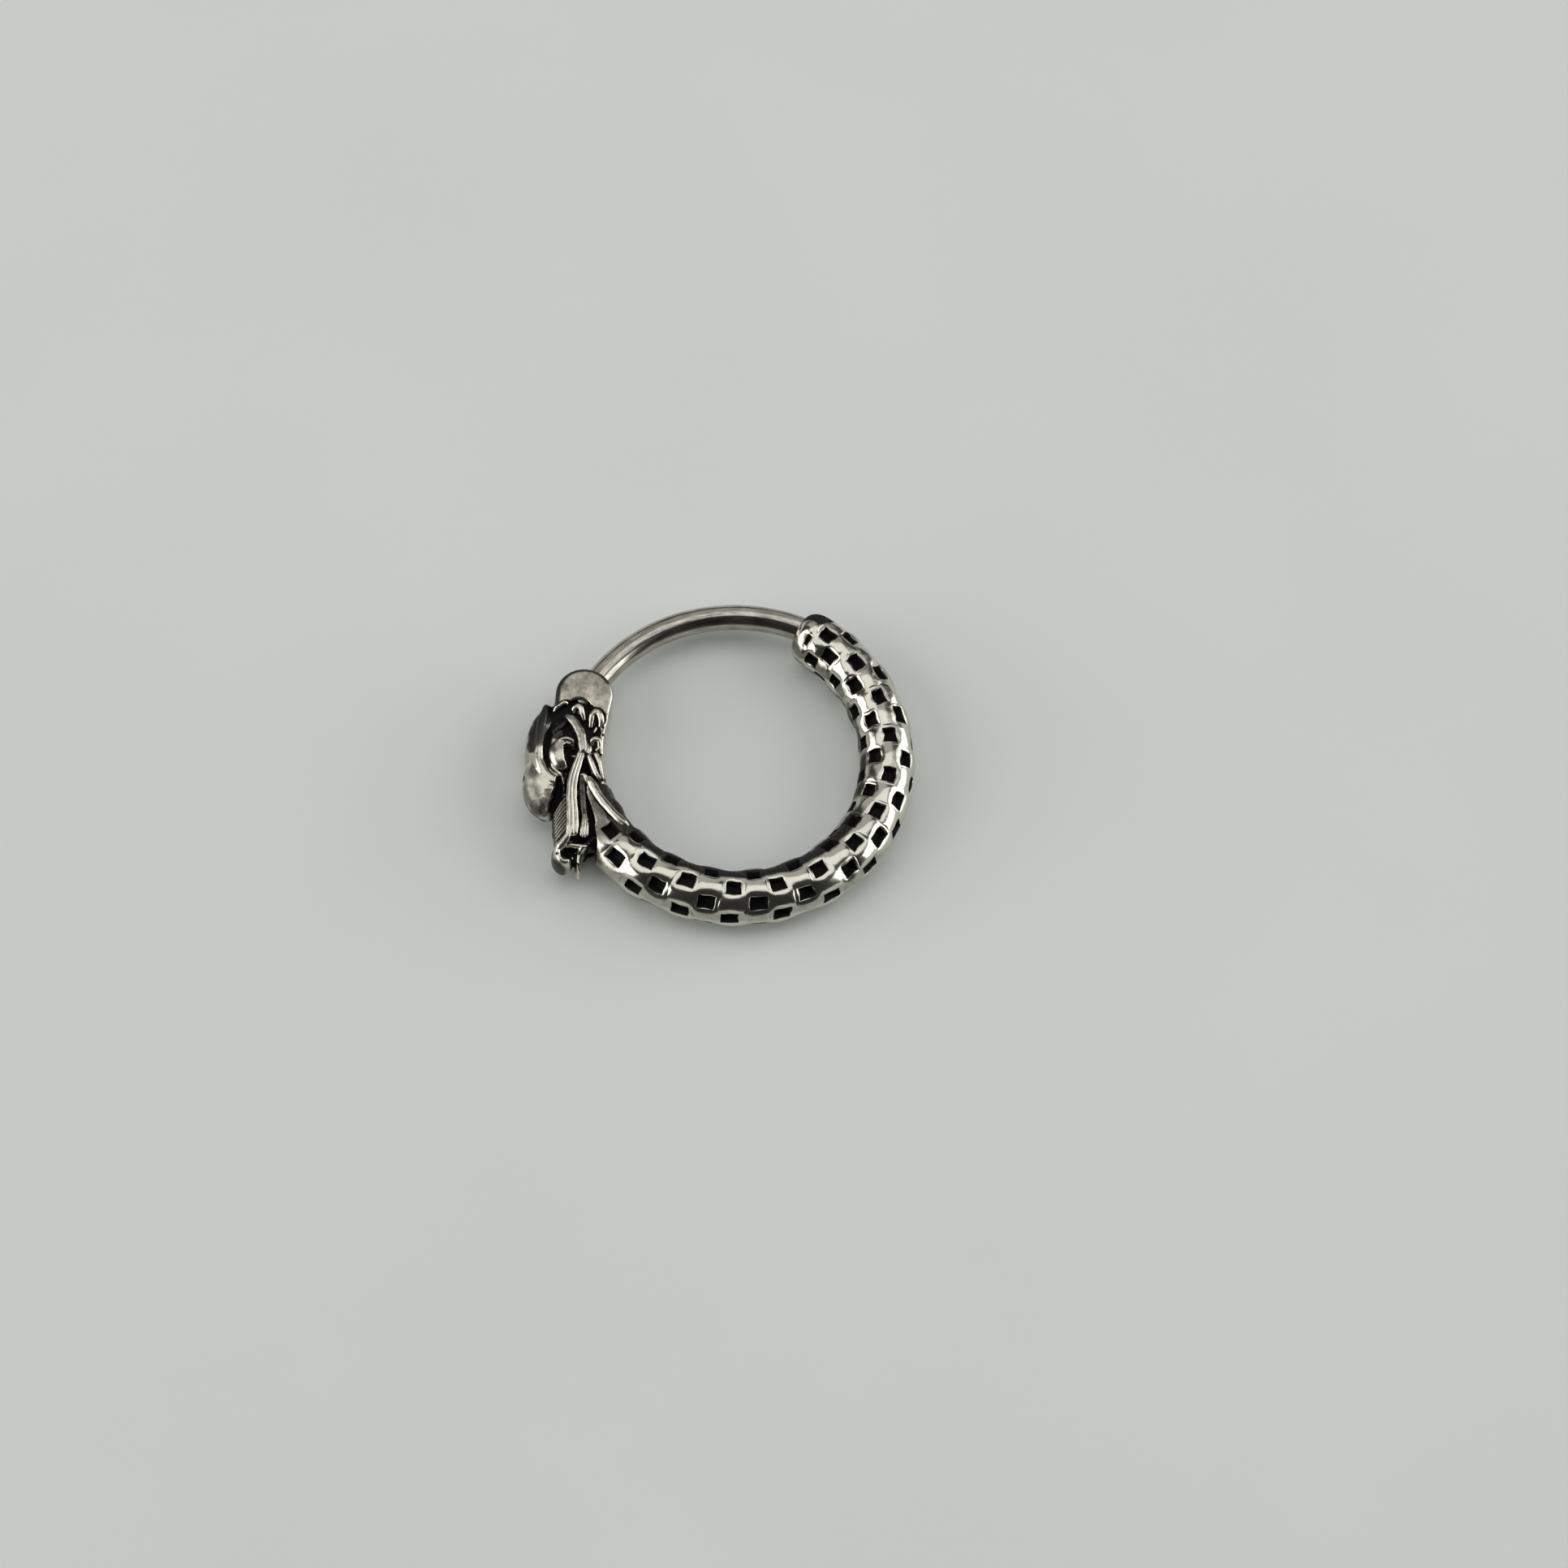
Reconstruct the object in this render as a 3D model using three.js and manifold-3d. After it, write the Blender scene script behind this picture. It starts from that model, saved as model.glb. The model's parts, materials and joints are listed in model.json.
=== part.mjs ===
// Dragon piercing hoop (hinged segment ring), millimetres, +Z up.
// The hoop lies on its side: its own axis is vertical. A cast scaled body runs
// three fifths of the way round; a dragon's head with the hinge fork is cast on
// one end, and the tail end has a latch slot. A plain round bar turns on a pin
// between the fork's two ears and closes the ring by dropping into the slot.

import * as THREE from 'three';
import { mergeVertices } from 'three/addons/utils/BufferGeometryUtils.js';
import Module from 'manifold-3d';

const wasm = await Module();
wasm.setup();

// ---------- driving dimensions (mm, degrees) ----------
const RING_R = 6.1;            // radius of the cast body's centre line
const BODY_R = 1.1;            // radius of the scaled body
const NECK_R = 1.0;            // radius of the plain neck under the head
const BAR_R = 0.5;             // radius of the plain bar (18 gauge)
const BAR_ARC_R = 6.85;        // the bar's own, flatter arc
const BAR_ARC_C = { x: 0.54, y: -0.71 };

const BODY_FROM = 214;         // scaled body, angle round the ring
const BODY_TO = 429.5;
const NECK_FROM = 183;
const BODY_STEPS = 27;          // one step to each half pitch of the pits
const BODY_SIDES = 16;
const BODY_PHASE = 0;
const TAIL_END_R = 1.03;       // rounding of the tail tip

const HINGE = { x: -6.10, y: 0.77 };
const EAR_R = 1.13;            // round end of the fork
const EAR_TOP = 1.10;          // outer face of each ear, from the mid plane
const EAR_BEVEL = 0.12;
const FORK_TURN = 3;
const FORK_SLOT = 0.52;        // half the slot between the ears
const FORK_BACK = 1.05;        // how far the slot runs behind the hinge axis
const KNUCKLE_R = 0.95;
const KNUCKLE_HALF = 0.47;
const PIN_R = 0.34;
const PIN_BORE_R = 0.355;      // in the ears
const BAR_BORE_R = 0.39;       // running clearance in the knuckle
const PIN_BLIND = 0.82;        // the pin's blind end, in the upper ear

const LATCH_HALF = 0.55;       // half height of the slot in the tail tip
const LATCH_INNER_R = 5.66;    // inner wall of the slot, from the ring's centre
const LATCH_FROM = 64.3;       // slot's closed end, angle round the ring
const BAR_END = 74.6;          // bar's end, angle on its own arc
const SLOT_GAP_PIT = 66;       // no pit is cut past this angle on the latch side

const PIT = { along: 0.68, across: 0.58, depth: 0.3 };
const PIT_ROWS = 10;           // rows of pits round the section
const PIT_ROW0 = 16;           // section angle of the first row

// pits along the body: ring angle of each ring of pits; even and odd rows alternate
const PIT_RINGS = {
  even: [229.5, 247.5, 263.6, 279.9, 296.3, 312.9, 329.4, 344.9, 360.7, 376.4, 392.2, 409.0, 423.5],
  odd: [238, 254.5, 271.5, 288.6, 305.1, 322.3, 337.3, 352.5, 368.2, 384.6, 401.3, 417.6],
};

// head: rounded lumps, one row each; mirrored lumps are cast on both faces
// x, y, z centre; rx, ry, rz half sizes; turn about Z (degrees)
const LUMPS = [
  { name: 'cranium', x: -6.99, y: -1.35, z: 0, rx: 1.02, ry: 1.80, rz: 0.96, turn: 4, mirror: false },
  { name: 'snout', x: -6.74, y: -2.95, z: 0, rx: 0.95, ry: 1.45, rz: 0.90, turn: 14, mirror: false },
  { name: 'brow', x: -7.35, y: -0.78, z: 0.56, rx: 0.28, ry: 0.98, rz: 0.36, turn: 4, mirror: true },
  { name: 'eye', x: -6.52, y: -2.02, z: 0.78, rx: 0.42, ry: 0.50, rz: 0.30, turn: 20, mirror: true },
  { name: 'ear_curl', x: -6.22, y: -0.25, z: 0.78, rx: 0.28, ry: 0.40, rz: 0.30, turn: 0, mirror: true },
  { name: 'cheek_curl', x: -5.45, y: -0.35, z: 0.76, rx: 0.24, ry: 0.50, rz: 0.30, turn: -6, mirror: true },
  { name: 'cheek_knob', x: -5.32, y: -1.24, z: 0.68, rx: 0.22, ry: 0.26, rz: 0.28, turn: 0, mirror: true },
  { name: 'jaw_block', x: -5.12, y: -2.10, z: 0.60, rx: 0.30, ry: 0.62, rz: 0.40, turn: 10, mirror: true },
];

// head: round strands; r is the radius
const STRANDS = [
  { name: 'horn', r: 0.26, mirror: true,
    path: [[-6.55, -0.75, 0.50], [-5.92, -1.25, 0.78], [-5.84, -2.1, 0.82], [-5.84, -2.9, 0.82], [-5.66, -3.8, 0.82], [-5.50, -4.7, 0.80], [-5.40, -5.55, 0.40]] },
  { name: 'back_horn', r: 0.22, mirror: true,
    path: [[-5.62, -2.5, 0.60], [-5.30, -3.8, 0.80], [-5.10, -4.7, 0.80], [-5.14, -5.5, 0.40]] },
  { name: 'whisker', r: 0.20, mirror: true,
    path: [[-5.70, -2.20, 0.55], [-5.22, -2.95, 0.86], [-4.70, -3.45, 0.88], [-4.06, -4.02, 0.88], [-3.2, -4.75, 0.80]] },
  { name: 'mane', r: 0.44, mirror: false,
    path: [[-6.0, -3.2, 0], [-5.85, -4.0, 0], [-5.62, -4.7, 0], [-5.34, -5.6, 0]] },
];

// curled end of the mane: a short scroll across the head's thickness
const CURL = { x: -5.34, y: -5.68, r: 0.54, half: 0.64, hole: 0.16, holeDepth: 0.35 };

// ---------- helpers ----------
const rad = THREE.MathUtils.degToRad;
const ringPoint = (deg, r = RING_R, z = 0) =>
  new THREE.Vector3(r * Math.cos(rad(deg)), r * Math.sin(rad(deg)), z);

class RingArc extends THREE.Curve {
  constructor(centre, radius, from, to) {
    super();
    Object.assign(this, { centre, radius, from, to });
  }
  getPoint(t, out = new THREE.Vector3()) {
    const a = rad(this.from + (this.to - this.from) * t);
    return out.set(this.centre.x + this.radius * Math.cos(a), this.centre.y + this.radius * Math.sin(a), 0);
  }
}

function solid(geometry, matrix) {
  let g = geometry.index ? geometry.toNonIndexed() : geometry.clone();
  for (const n of Object.keys(g.attributes)) if (n !== 'position') g.deleteAttribute(n);
  if (matrix) g.applyMatrix4(matrix);
  g = mergeVertices(g, 1e-5);
  return new wasm.Manifold(new wasm.Mesh({
    numProp: 3,
    vertProperties: new Float32Array(g.attributes.position.array),
    triVerts: new Uint32Array(g.index.array),
  }));
}

const place = (x, y, z, turn = 0, scale = null) => new THREE.Matrix4().compose(
  new THREE.Vector3(x, y, z),
  new THREE.Quaternion().setFromAxisAngle(new THREE.Vector3(0, 0, 1), rad(turn)),
  scale ?? new THREE.Vector3(1, 1, 1));

const union = (list) => list.reduce((a, b) => a.add(b));

// many-sided round section; phase turns its first corner
function roundSection(radius, sides, phase = 0) {
  const pts = [];
  for (let i = 0; i < sides; i++) {
    const a = rad(phase) + (2 * Math.PI * i) / sides;
    pts.push(new THREE.Vector2(radius * Math.cos(a), radius * Math.sin(a)));
  }
  return new THREE.Shape(pts);
}

function tube(path, radius, steps, sides, phase = 0) {
  return solid(new THREE.ExtrudeGeometry(roundSection(radius, sides, phase), { extrudePath: path, steps }));
}

function ellipsoid(l, z = l.z, w = 10, h = 6) {
  return solid(new THREE.SphereGeometry(1, w, h), place(l.x, l.y, z, l.turn, new THREE.Vector3(l.rx, l.ry, l.rz)));
}

// upright disc or rod along Z
function rod(x, y, radius, z0, z1, sides) {
  const g = new THREE.CylinderGeometry(radius, radius, z1 - z0, sides);
  g.rotateX(Math.PI / 2);
  return solid(g, place(x, y, (z0 + z1) / 2));
}

// strand: a round tube along a smooth curve through the table's points; both ends are sunk in their neighbours
function strand(row, sign = 1) {
  const curve = new THREE.CatmullRomCurve3(row.path.map(([x, y, z]) => new THREE.Vector3(x, y, z * sign)));
  return tube(curve, row.r, row.path.length + 1, 8, 22.5);
}

function toMesh(manifold, name, material) {
  const m = manifold.getMesh();
  const g = new THREE.BufferGeometry();
  g.setAttribute('position', new THREE.BufferAttribute(new Float32Array(m.vertProperties), 3));
  g.setIndex(new THREE.BufferAttribute(new Uint32Array(m.triVerts), 1));
  g.computeVertexNormals();
  const mesh = new THREE.Mesh(g, material);
  mesh.name = name;
  return mesh;
}

// ---------- cast hoop: body, neck, head, fork and tail tip, one casting ----------
function castHoop() {
  const O = { x: 0, y: 0 };
  const body = tube(new RingArc(O, RING_R, BODY_FROM, BODY_TO), BODY_R, BODY_STEPS, BODY_SIDES, BODY_PHASE);
  const neck = tube(new RingArc(O, RING_R, NECK_FROM, BODY_FROM + 3), NECK_R, 6, 12);
  const tip = ringPoint(BODY_TO);
  const tail = solid(new THREE.SphereGeometry(1, 18, 12),
    place(tip.x, tip.y, 0, BODY_TO - 360, new THREE.Vector3(BODY_R * 0.995, TAIL_END_R * 0.62, BODY_R * 0.995)));

  // fork: a slab with a round end, bevelled at both faces
  const s = new THREE.Shape();
  s.absarc(0, 0, EAR_R - EAR_BEVEL, 0, Math.PI, false);
  s.lineTo(-(EAR_R - EAR_BEVEL) + 0.05, -1.3);
  s.lineTo(EAR_R - EAR_BEVEL - 0.06, -1.3);
  s.closePath();
  const slab = new THREE.ExtrudeGeometry(s, {
    depth: 2 * (EAR_TOP - EAR_BEVEL), curveSegments: 8, bevelEnabled: true,
    bevelThickness: EAR_BEVEL, bevelSize: EAR_BEVEL, bevelSegments: 2,
  });
  slab.translate(0, 0, -(EAR_TOP - EAR_BEVEL));
  const fork = solid(slab, place(HINGE.x, HINGE.y, 0, FORK_TURN));

  const adds = [body, neck, tail, fork];
  for (const l of LUMPS) {
    adds.push(ellipsoid(l));
    if (l.mirror) adds.push(ellipsoid(l, -l.z));
  }
  for (const r of STRANDS) {
    adds.push(strand(r));
    if (r.mirror) adds.push(strand(r, -1));
  }
  adds.push(rod(CURL.x, CURL.y, CURL.r, -CURL.half, CURL.half, 14));
  let hoop = union(adds);

  // slot between the ears, open towards the bar and to the outside
  const slot = new THREE.Shape();
  slot.moveTo(EAR_R + 0.4, EAR_R + 0.6);
  slot.lineTo(-EAR_R - 1.2, EAR_R + 0.6);
  slot.lineTo(-EAR_R - 1.2, -0.24);
  slot.lineTo(-EAR_R - 0.02, -0.42);
  slot.absarc(0, 0, FORK_BACK, Math.PI * 1.13, Math.PI * 2, false);
  slot.lineTo(EAR_R + 0.4, 0);
  slot.closePath();
  const slotG = new THREE.ExtrudeGeometry(slot, { depth: 2 * FORK_SLOT, curveSegments: 10, bevelEnabled: false });
  slotG.translate(0, 0, -FORK_SLOT);
  hoop = hoop.subtract(solid(slotG, place(HINGE.x, HINGE.y, 0)));

  // pin bore: blind in the upper ear, open through the lower one
  hoop = hoop.subtract(rod(HINGE.x, HINGE.y, PIN_BORE_R, -EAR_TOP - 0.3, PIN_BLIND + 0.02, 20));

  // square pits in staggered rows
  const cuts = [];
  for (let k = 0; k < PIT_ROWS; k++) {
    const phi = rad(PIT_ROW0 + (360 / PIT_ROWS) * k);
    for (const deg of k % 2 === 0 ? PIT_RINGS.even : PIT_RINGS.odd) {
      const facesLatch = deg > SLOT_GAP_PIT + 360 - 6 && Math.abs(Math.sin(phi)) < 0.75 && Math.cos(phi) > 0;
      if (facesLatch) continue;
      const g = new THREE.BoxGeometry(PIT.depth * 2, PIT.along * (1 + 0.10 * Math.cos(phi)), PIT.across);
      const at = rad(deg);
      const radial = new THREE.Vector3(Math.cos(at) * Math.cos(phi), Math.sin(at) * Math.cos(phi), Math.sin(phi));
      const along = new THREE.Vector3(-Math.sin(at), Math.cos(at), 0);
      const across = new THREE.Vector3().crossVectors(radial, along);
      const m = new THREE.Matrix4().makeBasis(radial, along, across);
      m.setPosition(ringPoint(deg).addScaledVector(radial, BODY_R));
      cuts.push(solid(g, m));
    }
  }
  hoop = hoop.subtract(union(cuts));

  // latch slot in the tail tip, open outwards and at the end
  const latch = new THREE.Shape();
  const a0 = rad(LATCH_FROM), a1 = rad(84);
  latch.moveTo(LATCH_INNER_R * Math.cos(a1), LATCH_INNER_R * Math.sin(a1));
  latch.lineTo(LATCH_INNER_R * Math.cos(a0), LATCH_INNER_R * Math.sin(a0));
  latch.lineTo(8.2 * Math.cos(a0), 8.2 * Math.sin(a0));
  latch.lineTo(8.2 * Math.cos(a1), 8.2 * Math.sin(a1));
  latch.closePath();
  const latchG = new THREE.ExtrudeGeometry(latch, { depth: 2 * LATCH_HALF, bevelEnabled: false });
  latchG.translate(0, 0, -LATCH_HALF);
  hoop = hoop.subtract(solid(latchG));

  // eye of each end curl, drilled a little way in from both faces
  for (const sgn of [-1, 1]) {
    const z0 = sgn > 0 ? CURL.half - CURL.holeDepth : -CURL.half - 0.2;
    const z1 = sgn > 0 ? CURL.half + 0.2 : -CURL.half + CURL.holeDepth;
    hoop = hoop.subtract(rod(CURL.x, CURL.y, CURL.hole, z0, z1, 8));
  }
  // joined lumps can trap a closed gap between them: cast metal fills it
  return hoop.decompose().reduce((a, b) => (b.volume() > a.volume() ? b : a));
}

// ---------- bar: round wire with a flat knuckle ----------
function hingedBar() {
  const startDeg = THREE.MathUtils.radToDeg(Math.atan2(HINGE.y - BAR_ARC_C.y, HINGE.x - BAR_ARC_C.x));
  const arc = new RingArc(BAR_ARC_C, BAR_ARC_R, startDeg, BAR_END);
  const wire = tube(arc, BAR_R, 24, 12);
  const knuckle = rod(HINGE.x, HINGE.y, KNUCKLE_R, -KNUCKLE_HALF, KNUCKLE_HALF, 24);
  // inside the fork the wire is pressed flat to the knuckle's thickness
  const band = new THREE.BoxGeometry(2.6, 2.6, 0.6);
  let bar = wire;
  for (const sgn of [-1, 1]) {
    bar = bar.subtract(solid(band, place(HINGE.x, HINGE.y + 0.1, sgn * (KNUCKLE_HALF + 0.3))));
  }
  bar = bar.add(knuckle);
  return bar.subtract(rod(HINGE.x, HINGE.y, BAR_BORE_R, -1, 1, 20));
}

function hingePin() {
  return rod(HINGE.x, HINGE.y, PIN_R, -EAR_TOP, PIN_BLIND, 20);
}

// ---------- assembly ----------
const steel = (hex, rough) => new THREE.MeshStandardMaterial({ color: hex, roughness: rough, metalness: 1 });

const group = new THREE.Group();
group.add(toMesh(castHoop(), 'cast_hoop', steel(0x9a9a94, 0.25)));
group.add(toMesh(hingedBar(), 'hinged_bar', steel(0xb8b7b1, 0.2)));
group.add(toMesh(hingePin(), 'hinge_pin', steel(0xa5a5a0, 0.3)));

// stand the hoop on the surface, with the middle of its box over the origin
const box = new THREE.Box3().setFromObject(group);
group.position.set(-(box.min.x + box.max.x) / 2, -(box.min.y + box.max.y) / 2, -box.min.z);

export default group;
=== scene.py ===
import bpy, json, math
import numpy as np
from mathutils import Vector, Matrix


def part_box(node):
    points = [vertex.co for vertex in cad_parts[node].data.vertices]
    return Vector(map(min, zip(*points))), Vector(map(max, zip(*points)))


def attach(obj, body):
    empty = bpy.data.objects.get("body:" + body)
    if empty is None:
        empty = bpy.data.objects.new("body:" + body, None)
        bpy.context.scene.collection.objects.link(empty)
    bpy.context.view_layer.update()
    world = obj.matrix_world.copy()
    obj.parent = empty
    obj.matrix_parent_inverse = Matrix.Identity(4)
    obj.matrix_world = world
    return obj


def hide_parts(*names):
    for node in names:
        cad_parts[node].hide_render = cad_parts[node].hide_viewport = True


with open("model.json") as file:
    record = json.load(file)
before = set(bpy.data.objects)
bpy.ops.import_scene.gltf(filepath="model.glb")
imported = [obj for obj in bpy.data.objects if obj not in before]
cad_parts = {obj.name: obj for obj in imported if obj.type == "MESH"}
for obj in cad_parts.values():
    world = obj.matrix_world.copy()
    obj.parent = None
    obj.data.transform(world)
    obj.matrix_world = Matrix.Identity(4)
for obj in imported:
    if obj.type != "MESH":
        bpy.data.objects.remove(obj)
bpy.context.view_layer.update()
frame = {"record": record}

# ------------------------------------------------------------------ frame and named sizes (mm)
MM = 0.001
hoop_lo, hoop_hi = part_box("cast_hoop")
RING_R, BODY_R = 6.1, 1.1
C = np.array([hoop_hi[0] / MM - 7.194, hoop_lo[1] / MM + 7.2, (hoop_lo[2] + hoop_hi[2]) / 2 / MM])
joint = frame["record"]["behaviour"]["joints"][0]
HINGE = np.array(joint["pos_m"]) / MM - C          # in ring coordinates
EAR_R, EAR_TOP, EAR_ROUND = 1.13, 1.10, 0.17
FORK_SLOT, FORK_BACK, FORK_TURN = 0.52, 1.05, math.radians(3)
BAR_R, BAR_ARC_R, BAR_ARC_C = 0.5, 6.85, (0.54, -0.71)
BAR_END = math.radians(74.6)
KNUCKLE_R, KNUCKLE_HALF, BAR_BORE_R = 0.95, 0.47, 0.39
PIN_R, PIN_BLIND = 0.34, 0.82
LATCH_HALF, LATCH_INNER_R, LATCH_FROM = 0.55, 5.66, 64.3
TAIL_FROM, TAIL_END = 426.6, 435.7



def to_world(v):
    return (np.asarray(v, float) + C) * MM


# ------------------------------------------------------------------ mesh building
def make_mesh(name, verts, faces, attrs=None, smooth=True):
    """verts in ring millimetres, faces an (n,3) or (n,4) array or a list of such arrays."""
    if not isinstance(faces, (list, tuple)):
        faces = [faces]
    faces = [np.asarray(f, np.int32) for f in faces if len(f)]
    loops = np.concatenate([f.ravel() for f in faces])
    sizes = np.concatenate([np.full(len(f), f.shape[1], np.int32) for f in faces])
    starts = np.concatenate([[0], np.cumsum(sizes)[:-1]]).astype(np.int32)
    me = bpy.data.meshes.new(name)
    me.vertices.add(len(verts))
    me.vertices.foreach_set("co", to_world(verts).astype(np.float32).ravel())
    me.loops.add(len(loops))
    me.loops.foreach_set("vertex_index", loops)
    me.polygons.add(len(sizes))
    me.polygons.foreach_set("loop_start", starts)
    me.polygons.foreach_set("loop_total", sizes)
    me.update(calc_edges=True)
    me.validate()
    me.polygons.foreach_set("use_smooth", np.full(len(me.polygons), smooth))
    for key, val in (attrs or {}).items():
        a = me.attributes.new(key, "FLOAT", "POINT")
        a.data.foreach_set("value", np.asarray(val, np.float32))
    ob = bpy.data.objects.new(name, me)
    bpy.context.scene.collection.objects.link(ob)
    return ob


def boolean(ob, cutter, operation, solver="MANIFOLD"):
    m = ob.modifiers.new("b", "BOOLEAN")
    m.operation, m.object, m.solver = operation, cutter, solver
    dg = bpy.context.evaluated_depsgraph_get()
    me = bpy.data.meshes.new_from_object(ob.evaluated_get(dg))
    ob.modifiers.remove(m)
    old = ob.data
    ob.data = me
    me.name = ob.name
    bpy.data.meshes.remove(old)
    cm = cutter.data
    bpy.data.objects.remove(cutter)
    bpy.data.meshes.remove(cm)
    return ob


def prism(name, outline, z0, z1):
    """closed prism over a counter-clockwise outline (ring mm)"""
    n = len(outline)
    v = [(x, y, z0) for x, y in outline] + [(x, y, z1) for x, y in outline]
    side = [(i, (i + 1) % n, n + (i + 1) % n, n + i) for i in range(n)]
    ob = bpy.data.meshes.new(name)
    me = ob
    me.from_pydata([tuple(to_world(p)) for p in v], [], [tuple(reversed(range(n))), tuple(range(n, 2 * n)), *side])
    me.update()
    o = bpy.data.objects.new(name, me)
    bpy.context.scene.collection.objects.link(o)
    return o


def mark_walls(ob, line):
    """marks the faces that stand on a cut's outline, and makes the mesh's hard edges sharp"""
    me = ob.data
    n = len(me.polygons)
    c = np.empty(n * 3)
    me.polygons.foreach_get("center", c)
    nor = np.empty(n * 3)
    me.polygons.foreach_get("normal", nor)
    c = c.reshape(-1, 3) / MM - C
    flat = np.abs(nor.reshape(-1, 3)[:, 2]) < 0.02
    d = np.full(n, 9.0)
    p = np.array(line, float)
    for a, b in zip(p[:-1], p[1:]):
        t = np.clip(((c[:, :2] - a) @ (b - a)) / ((b - a) @ (b - a)), 0, 1)
        d = np.minimum(d, np.linalg.norm(c[:, :2] - a - t[:, None] * (b - a), axis=1))
    w = me.attributes.new("wall", "FLOAT", "FACE")
    w.data.foreach_set("value", ((d < 0.004) & flat).astype(np.float32))
    me.set_sharp_from_angle(angle=math.radians(38))


def smoothstep(a, b, x):
    t = np.clip((x - a) / (b - a), 0, 1)
    return t * t * (3 - 2 * t)


# ------------------------------------------------------------------ scaled body
# ring angle of each ring of pits; even and odd rows of pits alternate
PITS_EVEN = [229.5, 247.5, 263.6, 279.9, 296.3, 312.9, 329.4, 344.9, 360.7, 376.4, 392.2, 409.0, 423.5]
PITS_ODD = [238.0, 254.5, 271.5, 288.6, 305.1, 322.3, 337.3, 352.5, 368.2, 384.6, 401.3, 417.6]
ROW0, ROWS = 16.0, 10
PIT = {"half_along_deg": 2.66, "half_across_deg": 13.2, "depth": 0.30, "fillet": 0.045, "floor": -0.030}
MM_THETA, MM_PHI = 0.1065, 0.0192      # millimetres to a degree, along and across
PILLOW = 0.042
BODY_BASE = 1.068


def grid_lines(centres, half, unit, lo, hi, step, closed=False, seams=()):
    """lines packed round each pit edge and seam, evenly filled elsewhere"""
    out = []
    edge = np.array([0.045, 0.018, 0.0, -0.012, -0.030]) / unit
    for c in centres:
        for s in (-1, 1):
            out += list(c + s * (half + edge))
        out.append(c)
    for c in seams:
        out += list(c + np.array([-0.040, -0.016, 0.0, 0.016, 0.040]) / unit)
    out = sorted(x for x in out if lo <= x <= hi)
    full = [lo]
    for x in out + [hi]:
        gap = x - full[-1]
        if gap < 1e-6:
            continue
        n = max(1, int(math.ceil(gap / step)))
        full += list(full[-1] + gap * np.arange(1, n + 1) / n)
    return np.array(full if not closed else full[:-1])


def pit_profile(sd):
    """height over the skin as a function of the distance to the pit's edge (mm, negative inside)"""
    f, floor, depth = PIT["fillet"], PIT["floor"], PIT["depth"]
    fil = f - np.sqrt(np.maximum(f * f - np.clip(f - sd, 0, f) ** 2, 0))
    h = np.where(sd >= f, 0.0, -fil)
    wall = -f + (-(depth - 0.02) + f) * np.clip(sd / -0.012, 0, 1)
    h = np.where(sd < 0, wall, h)
    h = np.where(sd < -0.012, -(depth - 0.02) - 0.02 * np.clip((sd + 0.012) / (floor + 0.012), 0, 1), h)
    return h


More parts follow.
